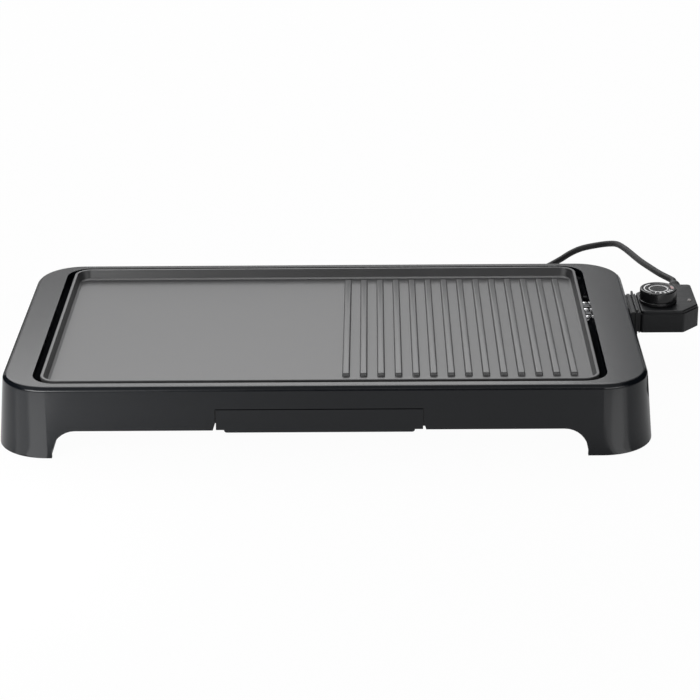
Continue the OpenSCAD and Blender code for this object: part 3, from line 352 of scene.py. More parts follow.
def relief_profile():
    """A head inside the box and a neck in its wall, then a round sleeve with three flex grooves whose
    end curves in to the cord along a quarter of an ellipse."""
    full = relief_out * RELIEF_FULL
    tip = CORD_D / 2 + RELIEF_TIP
    head = [RELIEF_R, 0] + RELIEF_HEAD * [-1, 1]
    start = relief_out * GROOVE_SHARES
    side = np.broadcast_to(RELIEF_R - GROOVE[:, 0], (len(start), len(GROOVE)))
    grooves = np.stack([side, start[:, None] + GROOVE[:, 1]], -1).reshape(-1, 2)
    turn = np.linspace(0, np.pi / 2, 9)
    dome = np.column_stack([tip + (RELIEF_R - tip) * np.cos(turn), full + (relief_out - full) * np.sin(turn)])
    ends = [(RELIEF_CORE, RELIEF_HEAD[0, 1])], [(RELIEF_CORE, relief_out)]
    return soften(np.vstack([ends[0], head, grooves, dome, ends[1]]), 0.0004, 4)


relief_at = (cord_exit[0], shell_high.y, cord_exit[2])
relief = ringed("relief_sleeve", lathe(relief_profile(), relief_at, "y", 64))
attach(relief, "controller")
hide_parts("strain_relief")
print("relief length outside the box:", round(relief_out * 1000, 1), "mm")

# %% Plug body
PLUG_R = float(plug_high.z - plug_low.z) / 2
PLUG_END = float(plug_high.x - plug_low.x)
PLUG_CORE = 0.001
PLUG_EDGE = 0.0012
NECK = 0.024
NECK_R = 0.011
PLUG_SLEEVE = np.array([
    (0.0008, 0), (0.0012, 0.004), (0.0005, 0.0045), (0.0005, 0.006), (0.0018, 0.0065), (0.0018, 0.010),
    (0.0010, 0.0105), (0.0010, 0.012), (0.0026, 0.0125), (0.0026, NECK - 0.006)])  # over the cord, and along
PLUG_GRIP = np.array([(0.005, 0.006), (0.0035, 0.012), (0.001, 0.016), (0, 0.018)])  # inside, past NECK
PRESS = 0.16
PRESS_FROM, PRESS_SHORT = 0.004, 0.006
plug_profile = soften(np.vstack([
    [(PLUG_CORE, 0)], PLUG_SLEEVE + [CORD_D / 2, 0], [(NECK_R, NECK)], [PLUG_R, NECK] + PLUG_GRIP * [-1, 1],
    [(PLUG_R, PLUG_END - PLUG_EDGE), (PLUG_R - PLUG_EDGE, PLUG_END), (PLUG_CORE, PLUG_END)]]), PLUG_EDGE)


def press_grip(rings, height, middle):
    """Draws the sides in where fingers hold: the width across Y shrinks by a smooth hump along the grip."""
    share = np.clip((height - NECK - PRESS_FROM) / (PLUG_END - NECK - PRESS_SHORT), 0, 1)
    hump = 1 - PRESS * np.sin(np.pi * share) ** 2
    pressed = rings.copy()
    pressed[..., 1] = middle[1] + (rings[..., 1] - middle[1]) * hump[:, None]
    return pressed


plug_at = (plug_high.x, (plug_low.y + plug_high.y) / 2, plug_axis_z)
plug_rings = press_grip(lathe(plug_profile, plug_at, "-x", 96), plug_profile[:, 1], plug_at)
plug = ringed("plug_grip", plug_rings)
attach(plug, "controller")
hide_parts("plug_body")
print("plug faces:", len(plug.data.polygons))

# %% [markdown]
# ## The controller's lid
# The lid is a shallow cap over the box. Its outline has six corners, because the front outer one and the
# back inner one are cut away, and each corner is an arc. A bevel modifier would round the edge as well,
# but the same outline drawn in step by step, while it climbs along a quarter circle, keeps the corners'
# arcs clean and gives the soft edge that catches the light.

# %% Lid outline
lid_low, lid_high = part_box("shell_upper")
LID_CUT = (0.0158, 0.0178)
LID_BACK_CUT = (0.0218, 0.0233)
CUT_SHARE = 0.5  # how much of an inset a cut or an arc shrinks by


def lid_corners(inset):
    """Corners of the box's outline drawn in by inset, anticlockwise from the near front one."""
    x0, y0, x1, y1 = lid_low.x + inset, lid_low.y + inset, lid_high.x - inset, lid_high.y - inset
    cut_x, cut_y = LID_CUT[0] - inset * CUT_SHARE, LID_CUT[1] - inset * CUT_SHARE
    back_x, back_y = LID_BACK_CUT[0] - inset * CUT_SHARE, LID_BACK_CUT[1] - inset * CUT_SHARE
    return np.array([(x0, y0), (x1 - cut_x, y0), (x1, y0 + cut_y), (x1, y1), (x0 + back_x, y1),
                     (x0, y1 - back_y)])


def arc_corners(corners, radius, steps=10):
    """Each corner becomes an arc: its middle lies along the bisector, and it turns from one edge's
    outward direction to the next one's."""
    into = corners - np.roll(corners, 1, 0)
    leave = np.roll(corners, -1, 0) - corners
    into /= np.linalg.norm(into, axis=1)[:, None]
    leave /= np.linalg.norm(leave, axis=1)[:, None]
    half = np.arccos(np.clip((-into * leave).sum(1), -1, 1)) / 2
    inward = leave - into
    inward /= np.linalg.norm(inward, axis=1)[:, None]
    middle = corners + inward * (radius / np.sin(half))[:, None]
    start = np.arctan2(-into[:, 0], into[:, 1])
    angle = start[:, None] + (np.pi - 2 * half)[:, None] * np.linspace(0, 1, steps)
    return (middle[:, None] + radius * np.stack([np.cos(angle), np.sin(angle)], -1)).reshape(-1, 2)


print("lid corners:", len(lid_corners(0)))

# %% Lid
LID_CORNER = 0.0036
LID_EDGE = 0.0013
LID_STEP = 0.0005


def lid_rings():
    """The outline at the seam, a step inside the box's edge, then a quarter circle up to the flat top."""
    rise = np.linspace(0, np.pi / 2, 8)
    inset = LID_STEP + np.concatenate([[0], LID_EDGE * (1 - np.cos(rise))])
    height = np.concatenate([[lid_low.z], lid_high.z - LID_EDGE * (1 - np.sin(rise))])
    outlines = [arc_corners(lid_corners(e), LID_CORNER - e * CUT_SHARE) for e in inset]
    return np.stack([np.column_stack([o, np.full(len(o), z)]) for o, z in zip(outlines, height)])


lid = ringed("controller_lid", lid_rings())
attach(lid, "controller")
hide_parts("shell_upper")
print("lid faces:", len(lid.data.polygons))

# %% [markdown]
# ## The pilot dome
# The pilot is a small milky dome that stands a little out of the lid. Half a sphere would stand too high,
# so the profile is a quarter of an ellipse on a short foot, turned about the upright.

# %% Pilot dome
lens_low, lens_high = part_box("pilot_lens")
LENS_R = (lens_high.x - lens_low.x) / 2
DOME_FOOT = -0.0012
DOME_H = 0.0018
DOME_SHARE = 0.98  # the dome stops just short of its pole, where a fan closes it
DOME_CORE = 0.0002
lens_at = ((lens_low.x + lens_high.x) / 2, (lens_low.y + lens_high.y) / 2, lid_high.z)
dome_turn = np.linspace(0, np.pi / 2 * DOME_SHARE, 10)
dome_profile = np.vstack([[(DOME_CORE, DOME_FOOT), (LENS_R, DOME_FOOT)],
                          np.column_stack([LENS_R * np.cos(dome_turn), DOME_H * np.sin(dome_turn)])])
dome = ringed("pilot_dome", lathe(dome_profile, lens_at, "z", 48))
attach(dome, "controller")
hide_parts("pilot_lens")
print("pilot dome radius:", round(LENS_R * 1000, 2), "mm")

# %% [markdown]
# ## The dial
# The dial is a smooth drum with a seam low on its side, a raised edge and a sunk middle. It is turned
# from one profile whose corners are softened, because a drum made of stacked cylinders would show hard
# steps. The profile is given from the drum's side and from its top, so that it follows the solid's size.

# %% Dial drum
knob_low, knob_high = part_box("dial_knob")
KNOB_R = (knob_high.x - knob_low.x) / 2
KNOB_H = knob_high.z - knob_low.z
knob_at = np.array([(knob_low.x + knob_high.x) / 2, (knob_low.y + knob_high.y) / 2, knob_low.z])
FACE_SINK = 0.0003
FACE_Z = KNOB_H - FACE_SINK
MIDDLE_Z = KNOB_H - 0.0006
DIAL_CORE = 0.0002
DIAL_FOOT = 0.0008
DIAL_SIDE = np.array([
    (0.0030, DIAL_FOOT), (0.0025, 0), (0.0003, 0), (0, 0.0004), (0, 0.0029), (0.0006, 0.0033),
    (0.0006, 0.0038), (0.0001, 0.0042)])  # inside the radius, and height
DIAL_TOP = np.array([(0.0004, 0.0006), (0.0010, 0), (0.0030, 0), (0.0034, FACE_SINK)])  # inside, and below
DIAL_HOLLOW = [(0.0098, FACE_Z), (0.0093, MIDDLE_Z), (DIAL_CORE, MIDDLE_Z)]
dial_profile = soften(np.vstack([[(DIAL_CORE, DIAL_FOOT)], [KNOB_R, 0] + DIAL_SIDE * [-1, 1],
                                 [KNOB_R, KNOB_H] - DIAL_TOP, DIAL_HOLLOW]), 0.0005, 5)
dial = ringed("dial_drum", lathe(dial_profile, knob_at, "z", 160))
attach(dial, "dial")
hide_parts("dial_knob")
print("dial:", round(KNOB_R * 2000, 1), "mm across,", round(KNOB_H * 1000, 1), "mm high")

# %% [markdown]
# ### The dial's marks
# The marks are printed: a ring, a white arc that grows with the heat, a short red arc and plain numbers.
# A picture could carry them, but this model has none, so each mark is a very thin piece on the dial's
# top. It rides on the dial's own body and turns with it.

# %% Dial ring and arcs
PRINT_T = 0.00006
RING_R = (0.0083, 0.0092)
ARC_R, ARC_W, ARC_DEG = 0.0134, (0.0008, 0.0015), (235, 120)
HOT_R, HOT_DEG = (0.0122, 0.0144), (24, -6)
ARC_STEPS, RING_STEPS = 64, 97


def band(r0, r1, deg0, deg1, z, steps):
    """A thin printed strip: four edges of a small rectangle carried along an arc."""
    angle = np.radians(np.linspace(deg0, deg1, steps))
    r0, r1 = np.broadcast_to(r0, steps), np.broadcast_to(r1, steps)
    radius = np.stack([r0, r1, r1, r0], -1)
    height = np.broadcast_to([z - PRINT_T, z - PRINT_T, z + PRINT_T, z + PRINT_T], radius.shape)
    spot = np.stack([radius * np.cos(angle)[:, None], radius * np.sin(angle)[:, None], height], -1)
    return spot + knob_at


def on_dial(piece):
    """A mark turns with the dial."""
    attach(piece, "dial")
    return piece


scale_ring = on_dial(looped("dial_ring", band(*RING_R, 0, 360, MIDDLE_Z, RING_STEPS)[:-1]))
arc_half = np.linspace(*ARC_W, ARC_STEPS) / 2
heat_band = band(ARC_R - arc_half, ARC_R + arc_half, *ARC_DEG, FACE_Z, ARC_STEPS)
heat_arc = on_dial(ringed("dial_arc", heat_band))
hot_arc = on_dial(ringed("dial_hot_arc", band(*HOT_R, *HOT_DEG, FACE_Z, ARC_STEPS)))
print("dial marks:", [piece.name for piece in (scale_ring, heat_arc, hot_arc)])

# %% Dial numbers
NUMBER_SIZE = 0.0052
NUMBER_BOLD = 0.00022
NUMBER_RADIUS = 0.0126
NUMBER_DEG = {"1": 252, "2": 272, "3": 292, "4": 312, "5": 332}


def number(text, deg):
    """A digit made a mesh, then set flat on the dial with its foot towards the dial's edge."""
    words = bpy.data.curves.new("dial_number_" + text, "FONT")
    words.body = text
    words.size = NUMBER_SIZE
    words.align_x = words.align_y = "CENTER"
    words.extrude = PRINT_T
    words.offset = NUMBER_BOLD
    words.resolution_u = 4
    flat = new_object("dial_digit", words)
    mesh = bpy.data.meshes.new_from_object(flat.evaluated_get(bpy.context.evaluated_depsgraph_get()))
    bpy.data.objects.remove(flat)
    angle = math.radians(deg)
    place = np.array([math.cos(angle) * NUMBER_RADIUS, math.sin(angle) * NUMBER_RADIUS, FACE_Z]) + knob_at
    mesh.transform(Matrix.Translation(place.tolist()) @ Matrix.Rotation(angle + math.pi / 2, 4, "Z"))
    return on_dial(new_object("dial_number_" + text, mesh))


numbers = [number(text, deg) for text, deg in NUMBER_DEG.items()]
print("dial numbers:", len(numbers))

# %% [markdown]
# ## The pan's wall
# The plate's wall goes down steeply from the lip and meets the floor with a sloping foot, which mirrors
# the light as a paler line. The solid's wall is plainer, so a closed band carried round the plate's
# outline gives it that face. A sculpted or bevelled wall would not stay as even round the corners.

# %% Pan wall
PLATE_R = 0.015
LIP_W = 0.0028
PAN_DEEP = 0.009
WALL_LINE = np.array([(0.00005, 0.0089), (0.0021, 0.0011), (0.00425, 0.00001)])  # inside the lip, and up
WALL_UNDER, WALL_BEHIND, WALL_TOP = 0.0008, 0.0003, 0.0004  # how far the band's back lies in the plate
WALL_SMOOTH_DEG = 12
floor_z = plate_high.z - PAN_DEEP
plate_half = np.array(plate_high - plate_low)[:2] / 2
plate_mid = np.array(plate_high + plate_low)[:2] / 2


def pan_wall_profile():
    """Insets and heights of the band: down the steep upper wall, out along its sloping foot onto the
    floor, and back under the plate's own skin."""
    line = WALL_LINE + [LIP_W, floor_z]
    under, behind = floor_z - WALL_UNDER, LIP_W - WALL_BEHIND
    return np.vstack([line, [(line[-1, 0], under), (behind, under), (behind, plate_high.z - WALL_TOP)]])


def carried(profile, half, middle, radius, steps):
    """A profile of insets and heights carried round a rectangle with rounded corners."""
    at, out = rounded_frame(half[0], half[1], radius, steps)
    spot = middle + at[:, None, :] - out[:, None, :] * profile[None, :, :1]
    height = np.broadcast_to(profile[None, :, 1:], spot.shape[:2] + (1,))
    return np.concatenate([spot, height], -1)


wall_rings = carried(pan_wall_profile(), plate_half, plate_mid, PLATE_R, 24)
pan_wall = looped("pan_wall", wall_rings, WALL_SMOOTH_DEG)
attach(pan_wall, "plate")
print("pan wall faces:", len(pan_wall.data.polygons))

# %% [markdown]
# ## The tops of the ribs
# The ribs of the right half have flat tops with narrow soft edges, and their front tips slope down to the
# floor. One bar is made as rings that draw in as they climb, and an Array modifier sets it in a row, so
# that all the ribs stay alike and the mesh stays small.

# %% Rib tops
RIB_N = 14
RIB_PITCH = 0.0155
RIB_LAST_X = 0.2244
RIB_FROM_Y, RIB_TO_Y = -0.1176, 0.12805
RIB_SLOPE = 0.40  # how far a tip draws back for its height
RIB_HALF = 0.0034
RIB_CORNER = 0.0016
RIB_LINE = np.array([(0, -0.0005), (0, 0), (0.00035, 0.0020), (0.00060, 0.0027), (0.00085, 0.00293),
                     (0.00125, 0.00304)])  # inset, and height over the floor


def rib_rings():
    """Rings of a flat-topped bar with small corners: each height has its own inset from the outline,
    and at the front end the bar draws back further with its height, which makes a sloping tip."""
    half = np.array([RIB_HALF, (RIB_TO_Y - RIB_FROM_Y) / 2])
    middle = plate_mid + [RIB_LAST_X, (RIB_FROM_Y + RIB_TO_Y) / 2]
    rings = carried(RIB_LINE + [0, floor_z], half, middle, RIB_CORNER, 6).transpose(1, 0, 2)
    rise = np.maximum(rings[..., 2] - floor_z, 0)
    rings[..., 1] += RIB_SLOPE * rise * (rings[..., 1] < middle[1])
    return rings


rib_tops = ringed("rib_tops", rib_rings())
row = rib_tops.modifiers.new("row", "ARRAY")
row.count = RIB_N
row.use_relative_offset = False
row.use_constant_offset = True
row.constant_offset_displace = (-RIB_PITCH, 0, 0)
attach(rib_tops, "plate")
print("ribs:", RIB_N)

# %% [markdown]
# ## The mouth's cheeks
# Behind the slits at the drip tray's ends the moulding turns inward, which keeps the upper part of each
# slit dark. A thin upright strip on the frame does that. Each is four corners at two heights, and it
# ends above the tray's runner so that the tray slides past it.

# %% Mouth cheeks
tray_low, tray_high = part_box("drip_tray")
CHEEK_FROM = 0.0056
CHEEK_T = 0.0010
CHEEK_IN, CHEEK_OUT = -0.0006, 0.0060
CHEEK_OVER = 0.002
CHEEK_FOOT = {"left": 0.0067, "right": 0.0031}


def cheek(side, sign, foot):
    """A thin upright strip behind one end of the tray's panel, standing clear of the runner."""
    edge = tray_high.x if sign > 0 else tray_low.x
    corner = np.array([(CHEEK_IN, 0), (CHEEK_OUT, 0), (CHEEK_OUT, CHEEK_T), (CHEEK_IN, CHEEK_T)])
    level = np.array([tray_low.z + foot, tray_high.z + CHEEK_OVER])
    at = np.stack([edge + sign * corner[:, 0], tray_low.y + CHEEK_FROM + corner[:, 1]], -1)
    rings = np.stack([np.column_stack([at, np.full(4, z)]) for z in level])
    piece = ringed("mouth_cheek_" + side, rings)
    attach(piece, "base")
    return piece


cheeks = [cheek(side, sign, CHEEK_FOOT[side]) for side, sign in (("left", -1), ("right", 1))]
print("cheeks:", [piece.name for piece in cheeks])

# %% [markdown]
# ## Shared surface effects
# A finish is never one flat value. Moulded plastic has a fine grain and faint handling marks, a coated
# casting has specks, rolled sheet has lines. Each of these is a shader node group with named sockets,
# built once and placed in each material with its own values. All of them read Object coordinates, so a
# pattern stays fixed to its piece.

# %% Node helpers


def add(tree, kind, inputs=None, **settings):
    """A new node of a kind; an input given as a socket is linked, and any other value is set."""
    made = tree.nodes.new("ShaderNode" + kind)
    for name, value in settings.items():
        setattr(made, name, value)
    for name, value in (inputs or {}).items():
        if isinstance(value, bpy.types.NodeSocket):
            tree.links.new(value, made.inputs[name])
        else:
            made.inputs[name].default_value = value
    return made


def new_group(name, inputs, outputs):
    """A node group with float inputs {name: default} and float outputs [name]."""
    tree = bpy.data.node_groups.new(name, "ShaderNodeTree")
    for label, default in inputs.items():
        socket = tree.interface.new_socket(label, in_out="INPUT", socket_type="NodeSocketFloat")
        socket.default_value = default
    for label in outputs:
        tree.interface.new_socket(label, in_out="OUTPUT", socket_type="NodeSocketFloat")
    return tree, tree.nodes.new("NodeGroupInput").outputs, tree.nodes.new("NodeGroupOutput").inputs


def scaled(tree, scale, stretch=(1, 1, 1)):
    """Object coordinates, stretched along the axes, times a scale socket."""
    spot = add(tree, "TexCoord").outputs["Object"]
    turned = add(tree, "Mapping", {"Vector": spot, "Scale": stretch}).outputs["Vector"]
    return add(tree, "VectorMath", {0: turned, "Scale": scale}, operation="SCALE").outputs["Vector"]


def span(tree, value, low, high):
    """Maps 0..1 to low..high."""
    return add(tree, "MapRange", {"Value": value, "To Min": low, "To Max": high}).outputs["Result"]


print("node helpers ready")

# %% Grain, handling and rolled lines
WIPED = (0.35, 2.2, 1.0)
DRAWN = (0.02, 1.0, 1.0)
STAINED = (0.05, 0.05, 0.05)


def moulded_grain():
    """Fine cells over a slow unevenness: Height feeds a bump, Cloud varies colour and gloss."""
    tree, given, out = new_group("Moulded grain", {"Scale": 1500.0, "Cloud scale": 14.0}, ["Height", "Cloud"])
    cells = add(tree, "TexVoronoi", {"Vector": scaled(tree, given["Scale"])}, feature="SMOOTH_F1")
    fine = add(tree, "TexNoise", {"Vector": scaled(tree, given["Scale"]), "Detail": 3.0})
    height = add(tree, "Math", {0: cells.outputs["Distance"], 1: fine.outputs["Fac"]}, operation="ADD")
    cloud = add(tree, "TexNoise", {"Vector": scaled(tree, given["Cloud scale"]), "Detail": 4.0,
                                   "Roughness": 0.6})
    tree.links.new(height.outputs[0], out["Height"])
    tree.links.new(cloud.outputs["Fac"], out["Cloud"])
    return tree


def handled():
    """Faint wiping lines and specks of dust: Smear lowers the gloss, Dust lightens the colour."""
    tree, given, out = new_group("Handling", {"Smear scale": 30.0, "Dust scale": 900.0}, ["Smear", "Dust"])
    lines = add(tree, "TexNoise", {"Vector": scaled(tree, given["Smear scale"], WIPED),
                                   "Detail": 6.0, "Roughness": 0.7, "Distortion": 0.4})
    smear = add(tree, "MapRange", {"Value": lines.outputs["Fac"], "From Min": 0.42, "From Max": 0.72})
    specks = add(tree, "TexVoronoi", {"Vector": scaled(tree, given["Dust scale"])})
    dust = add(tree, "MapRange", {"Value": specks.outputs["Distance"], "From Min": 0.10, "From Max": 0.04})
    tree.links.new(smear.outputs["Result"], out["Smear"])
    tree.links.new(dust.outputs["Result"], out["Dust"])
    return tree


def rolled_lines():
    """Noise drawn out along X, as rolling leaves in sheet and drawing leaves in wire."""
    tree, given, out = new_group("Rolled lines", {"Scale": 400.0}, ["Line", "Stain"])
    line = add(tree, "TexNoise", {"Vector": scaled(tree, given["Scale"], DRAWN), "Detail": 5.0,
                                  "Roughness": 0.65})
    stain = add(tree, "TexNoise", {"Vector": scaled(tree, given["Scale"], STAINED), "Detail": 3.0})
    tree.links.new(line.outputs["Fac"], out["Line"])
    tree.links.new(stain.outputs["Fac"], out["Stain"])
    return tree


GRAIN, HANDLED, ROLLED = moulded_grain(), handled(), rolled_lines()
print("effects:", GRAIN.name, HANDLED.name, ROLLED.name)

# %% [markdown]
# ## Finishes
# Each material is one Principled shader. Numbers that are the same all over are set on the shader
# itself; what varies comes from the groups. A small helper starts the material, and each finish then
# adds its own colour range, gloss range and bump.

# %% Material helpers


def finish(name, **sockets):
    """A material with its Principled shader; sockets are plain values by their names, with _ for space."""
    material = bpy.data.materials.new(name)
    material.use_nodes = True
    tree = material.node_tree
    shader = tree.nodes["Principled BSDF"]
    for label, value in sockets.items():
        shader.inputs[label.replace("_", " ")].default_value = value
    return material, tree, shader


def effect(tree, group, **values):
    """A group placed in a material, with its own values."""
    made = tree.nodes.new("ShaderNodeGroup")
    made.node_tree = group
    for label, value in values.items():
        made.inputs[label.replace("_", " ")].default_value = value
    return made.outputs


print("material helpers ready")

# %% Colour, gloss, relief and dress


def tint(tree, shader, share, dark, light):
    """Base colour between two colours by a share."""
    mix = add(tree, "Mix", {"Factor": share}, data_type="RGBA")
    colours = [socket for socket in mix.inputs if socket.type == "RGBA"]
    colours[0].default_value = (*dark, 1)
    colours[1].default_value = (*light, 1)
    mixed = next(socket for socket in mix.outputs if socket.type == "RGBA")
    tree.links.new(mixed, shader.inputs["Base Color"])


def gloss(tree, shader, share, low, high):
    """Roughness between two values by a share."""
    tree.links.new(span(tree, share, low, high), shader.inputs["Roughness"])


def bump(tree, shader, height, depth):
    """Surface relief of a depth in metres."""
    made = add(tree, "Bump", {"Height": height, "Distance": depth, "Strength": 1.0})
    tree.links.new(made.outputs["Normal"], shader.inputs["Normal"])


def dress(material, *wearers):
    """Puts a material in every slot of solids, given by their names, and makes it the one of new pieces."""
    for wearer in wearers:
        if isinstance(wearer, str):
            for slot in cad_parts[wearer].material_slots:
                slot.material = material
        else:
            wearer.data.materials.clear()
            wearer.data.materials.append(material)


print("solids to dress:", len(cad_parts))

# %% Moulding and metal


def moulding(name, dark, light, rough, grain, depth, even=False, **sockets):
    """Moulded plastic or rubber: grain in the bump, cloud and dust in the colour, wiping marks in the
    gloss, or only the cloud where the gloss is even."""
    material, tree, shader = finish(name, **sockets)
    skin = effect(tree, GRAIN, Scale=grain)
    touch = effect(tree, HANDLED)
    share = add(tree, "Math", {0: skin["Cloud"], 1: touch["Dust"]}, operation="MAXIMUM").outputs[0]
    tint(tree, shader, share, dark, light)
    gloss(tree, shader, skin["Cloud"] if even else touch["Smear"], *rough)
    bump(tree, shader, skin["Height"], depth)
    return material


def metal(name, dark, light, rough, scale, depth):
    """Drawn or rolled metal: lines in the bump and the gloss, stains in the colour."""
    material, tree, shader = finish(name, Metallic=1.0)
    lines = effect(tree, ROLLED, Scale=scale)
    tint(tree, shader, lines["Stain"], dark, light)
    gloss(tree, shader, lines["Line"], *rough)
    bump(tree, shader, lines["Line"], depth)
    return material


print("moulding and metal ready")

# %% [markdown]
# ## Plastic, rubber and print
# The frame and the tray's panel are glossy black mouldings. The controller's shells are duller, the dial
# is polished, and the cord, the relief, the plug and the feet are soft and dull. A photograph of black
# things shows mostly what they mirror, so their own colours are close to black and the gloss does the rest.

# %% Plastics
dress(moulding(
    "frame_black", dark=(0.0027, 0.0037, 0.0055), light=(0.0047, 0.0061, 0.0084), rough=(0.17, 0.20),
    grain=2200.0, depth=0.000003, even=True, IOR=1.44), "base_frame", "drip_tray", *cheeks)
dress(moulding(
    "shell_black", dark=(0.006, 0.0064, 0.0075), light=(0.010, 0.0108, 0.0125), rough=(0.40, 0.50),
    grain=1800.0, depth=0.000010, IOR=1.40), "shell_lower", "connector_nose", "cable_clamp", lid)
dress(moulding(
    "dial_black", dark=(0.006, 0.006, 0.007), light=(0.011, 0.011, 0.012), rough=(0.16, 0.26),
    grain=2500.0, depth=0.000003, IOR=1.46), dial)
print("plastics done")

# %% Rubber, ceramic and print
dress(moulding(
    "cord_grey", dark=(0.007, 0.007, 0.008), light=(0.013, 0.013, 0.014), rough=(0.50, 0.66),
    grain=1400.0, depth=0.00003, IOR=1.36), cord)
dress(moulding(
    "soft_black", dark=(0.012, 0.012, 0.013), light=(0.024, 0.024, 0.026), rough=(0.52, 0.68),
    grain=1500.0, depth=0.00002), "rubber_feet", plug, relief, strap)
dress(moulding(
    "ceramic_white", dark=(0.58, 0.55, 0.48), light=(0.74, 0.71, 0.64), rough=(0.45, 0.6),
    grain=1200.0, depth=0.00002), "pin_insulators")
dress(moulding(
    "print_white", dark=(0.82, 0.82, 0.82), light=(0.92, 0.92, 0.92), rough=(0.4, 0.5),
    grain=2000.0, depth=0.000002), scale_ring, heat_arc, *numbers)
dress(moulding(
    "print_red", dark=(0.50, 0.30, 0.30), light=(0.60, 0.38, 0.38), rough=(0.4, 0.5),
    grain=2000.0, depth=0.000002), hot_arc)
print("rubber, ceramic and print done")

# %% [markdown]
# ## Metals
# The plated pins and the probe are bright, the reflector and the rails are satin sheet, the heating tube
# is browned by heat, and the contacts are brass. One recipe with its own colours, gloss and line scale
# makes them all, because each is drawn or rolled.

# %% Metals
dress(metal("plated_steel", dark=(0.60, 0.60, 0.61), light=(0.78, 0.78, 0.79), rough=(0.18, 0.34),
            scale=900.0, depth=0.000004), "terminal_pins", "probe_rod", "probe_guide", "plug_pins")
dress(metal("zinc_steel", dark=(0.38, 0.385, 0.39), light=(0.56, 0.565, 0.57), rough=(0.30, 0.46),
            scale=1200.0, depth=0.000006),
      "reflector_screws", "bracket_screws", "rail_rivets", "shell_screws", "clamp_screws",
      "element_clips", "terminal_bracket", "thermostat_bracket", "knob_spindle")
dress(metal("satin_sheet", dark=(0.50, 0.51, 0.525), light=(0.66, 0.67, 0.685), rough=(0.26, 0.42),
            scale=500.0, depth=0.00001), "reflector", "tray_rail_left", "tray_rail_right")
dress(metal("browned_sheath", dark=(0.075, 0.066, 0.058), light=(0.19, 0.165, 0.14), rough=(0.38, 0.55),
            scale=700.0, depth=0.00001), "heating_element")
dress(metal("drawn_brass", dark=(0.55, 0.39, 0.16), light=(0.72, 0.54, 0.26), rough=(0.22, 0.36),
            scale=900.0, depth=0.000005), "contact_sockets", "contact_blades", "bimetal_blade")
print("metals done")

# %% [markdown]
# ## The coated plate
# The plate is cast aluminium under a dark grey non-stick coating: an even, slightly rough skin with very
# fine light and dark specks and a soft sheen. The specks come from small cells, and a slow cloud keeps
# the large flat half from looking like one flat colour. A high IOR gives the coating its sheen at the
# camera's low angle.

# %% Plate coating
COAT_DARK, COAT_LIGHT = (0.034, 0.034, 0.035), (0.048, 0.048, 0.049)
COAT_ROUGH = (0.36, 0.40)
FLECK = 0.2


def coated_plate():
    """Grey between two shades by cloud and specks, with a shallow pebbled bump and uneven gloss."""
    material, tree, shader = finish("plate_coating", IOR=1.63)
    skin = effect(tree, GRAIN, Scale=900.0, Cloud_scale=9.0)
    flecks = span(tree, skin["Height"], -FLECK, FLECK)
    share = add(tree, "Math", {0: skin["Cloud"], 1: flecks}, operation="ADD", use_clamp=True).outputs[0]
    tint(tree, shader, share, COAT_DARK, COAT_LIGHT)
    gloss(tree, shader, skin["Cloud"], *COAT_ROUGH)
    bump(tree, shader, skin["Height"], 0.000004)
    return material


dress(coated_plate(), "cooking_plate", pan_wall, rib_tops)
print("plate done")

# %% [markdown]
# ## Pilot lens and lamp
# The lens is milky plastic that would glow amber when lit. Unlit it is a pale dot, so the moulding's recipe
# with pale colours is enough. The lamp below it is a small glass bulb inside the box: the same shader with
# full transmission, tinted a little.

# %% Lens and lamp
dress(moulding(
    "pilot_milky", dark=(0.30, 0.28, 0.27), light=(0.40, 0.38, 0.37), rough=(0.18, 0.28),
    grain=1500.0, depth=0.000003), dome)
lamp_glass, lamp_tree, lamp_shader = finish("lamp_glass", Transmission_Weight=1.0, IOR=1.47)
lamp_skin = effect(lamp_tree, GRAIN, Scale=600.0)
tint(lamp_tree, lamp_shader, lamp_skin["Cloud"], (0.90, 0.74, 0.66), (0.96, 0.86, 0.80))
gloss(lamp_tree, lamp_shader, lamp_skin["Cloud"], 0.03, 0.10)
dress(lamp_glass, "pilot_lamp")
print("lens done")

# %% [markdown]
# ## Floor and world
# The photograph is a cut-out on white. More light would bleach the object, so the floor is pale paper
# that Light Path shows nearly white to the camera, and a little whiter in mirrors, while the lamps see
# plain grey paper that keeps the object's shadow. A faint even sky fills in.

# %% Floor
FLOOR_HALF = 9.0
FLOOR_Z = -0.0002
FLOOR_GREY = 0.71
WHITE_SHARE = 0.97
MIRROR_SHARE = 0.2


def level_corners(x0, y0, x1, y1, z):
    """Corners of a level rectangle."""
    return [(x0, y0, z), (x1, y0, z), (x1, y1, z), (x0, y1, z)]


def flat_mesh(name, corners):
    """A mesh of one face."""
    mesh = bpy.data.meshes.new(name)
    mesh.from_pydata(corners, [], [tuple(range(len(corners)))])
    return mesh


floor_outline = level_corners(-FLOOR_HALF, -FLOOR_HALF, FLOOR_HALF, FLOOR_HALF, FLOOR_Z)
floor_mesh = flat_mesh("studio_floor", floor_outline)
floor = new_object("studio_floor", floor_mesh)
floor_paper = bpy.data.materials.new("floor_paper")
floor_paper.use_nodes = True
paper = floor_paper.node_tree
paper.nodes.remove(paper.nodes["Principled BSDF"])
matt = add(paper, "BsdfDiffuse", {"Color": (FLOOR_GREY, FLOOR_GREY, FLOOR_GREY, 1)})
white = add(paper, "Emission", {"Color": (1, 1, 1, 1), "Strength": 1.0})
path = add(paper, "LightPath").outputs
mirrored = add(paper, "Math", {0: path["Is Glossy Ray"], 1: path["Is Transmission Ray"]}, operation="MAXIMUM")
seen = add(paper, "Math", {0: path["Is Camera Ray"], 1: WHITE_SHARE}, operation="MULTIPLY")
part = add(paper, "Math", {0: mirrored.outputs[0], 1: MIRROR_SHARE, 2: seen.outputs[0]},
           operation="MULTIPLY_ADD", use_clamp=True)
blend = add(paper, "MixShader", {0: part.outputs[0], 1: matt.outputs[0], 2: white.outputs[0]})
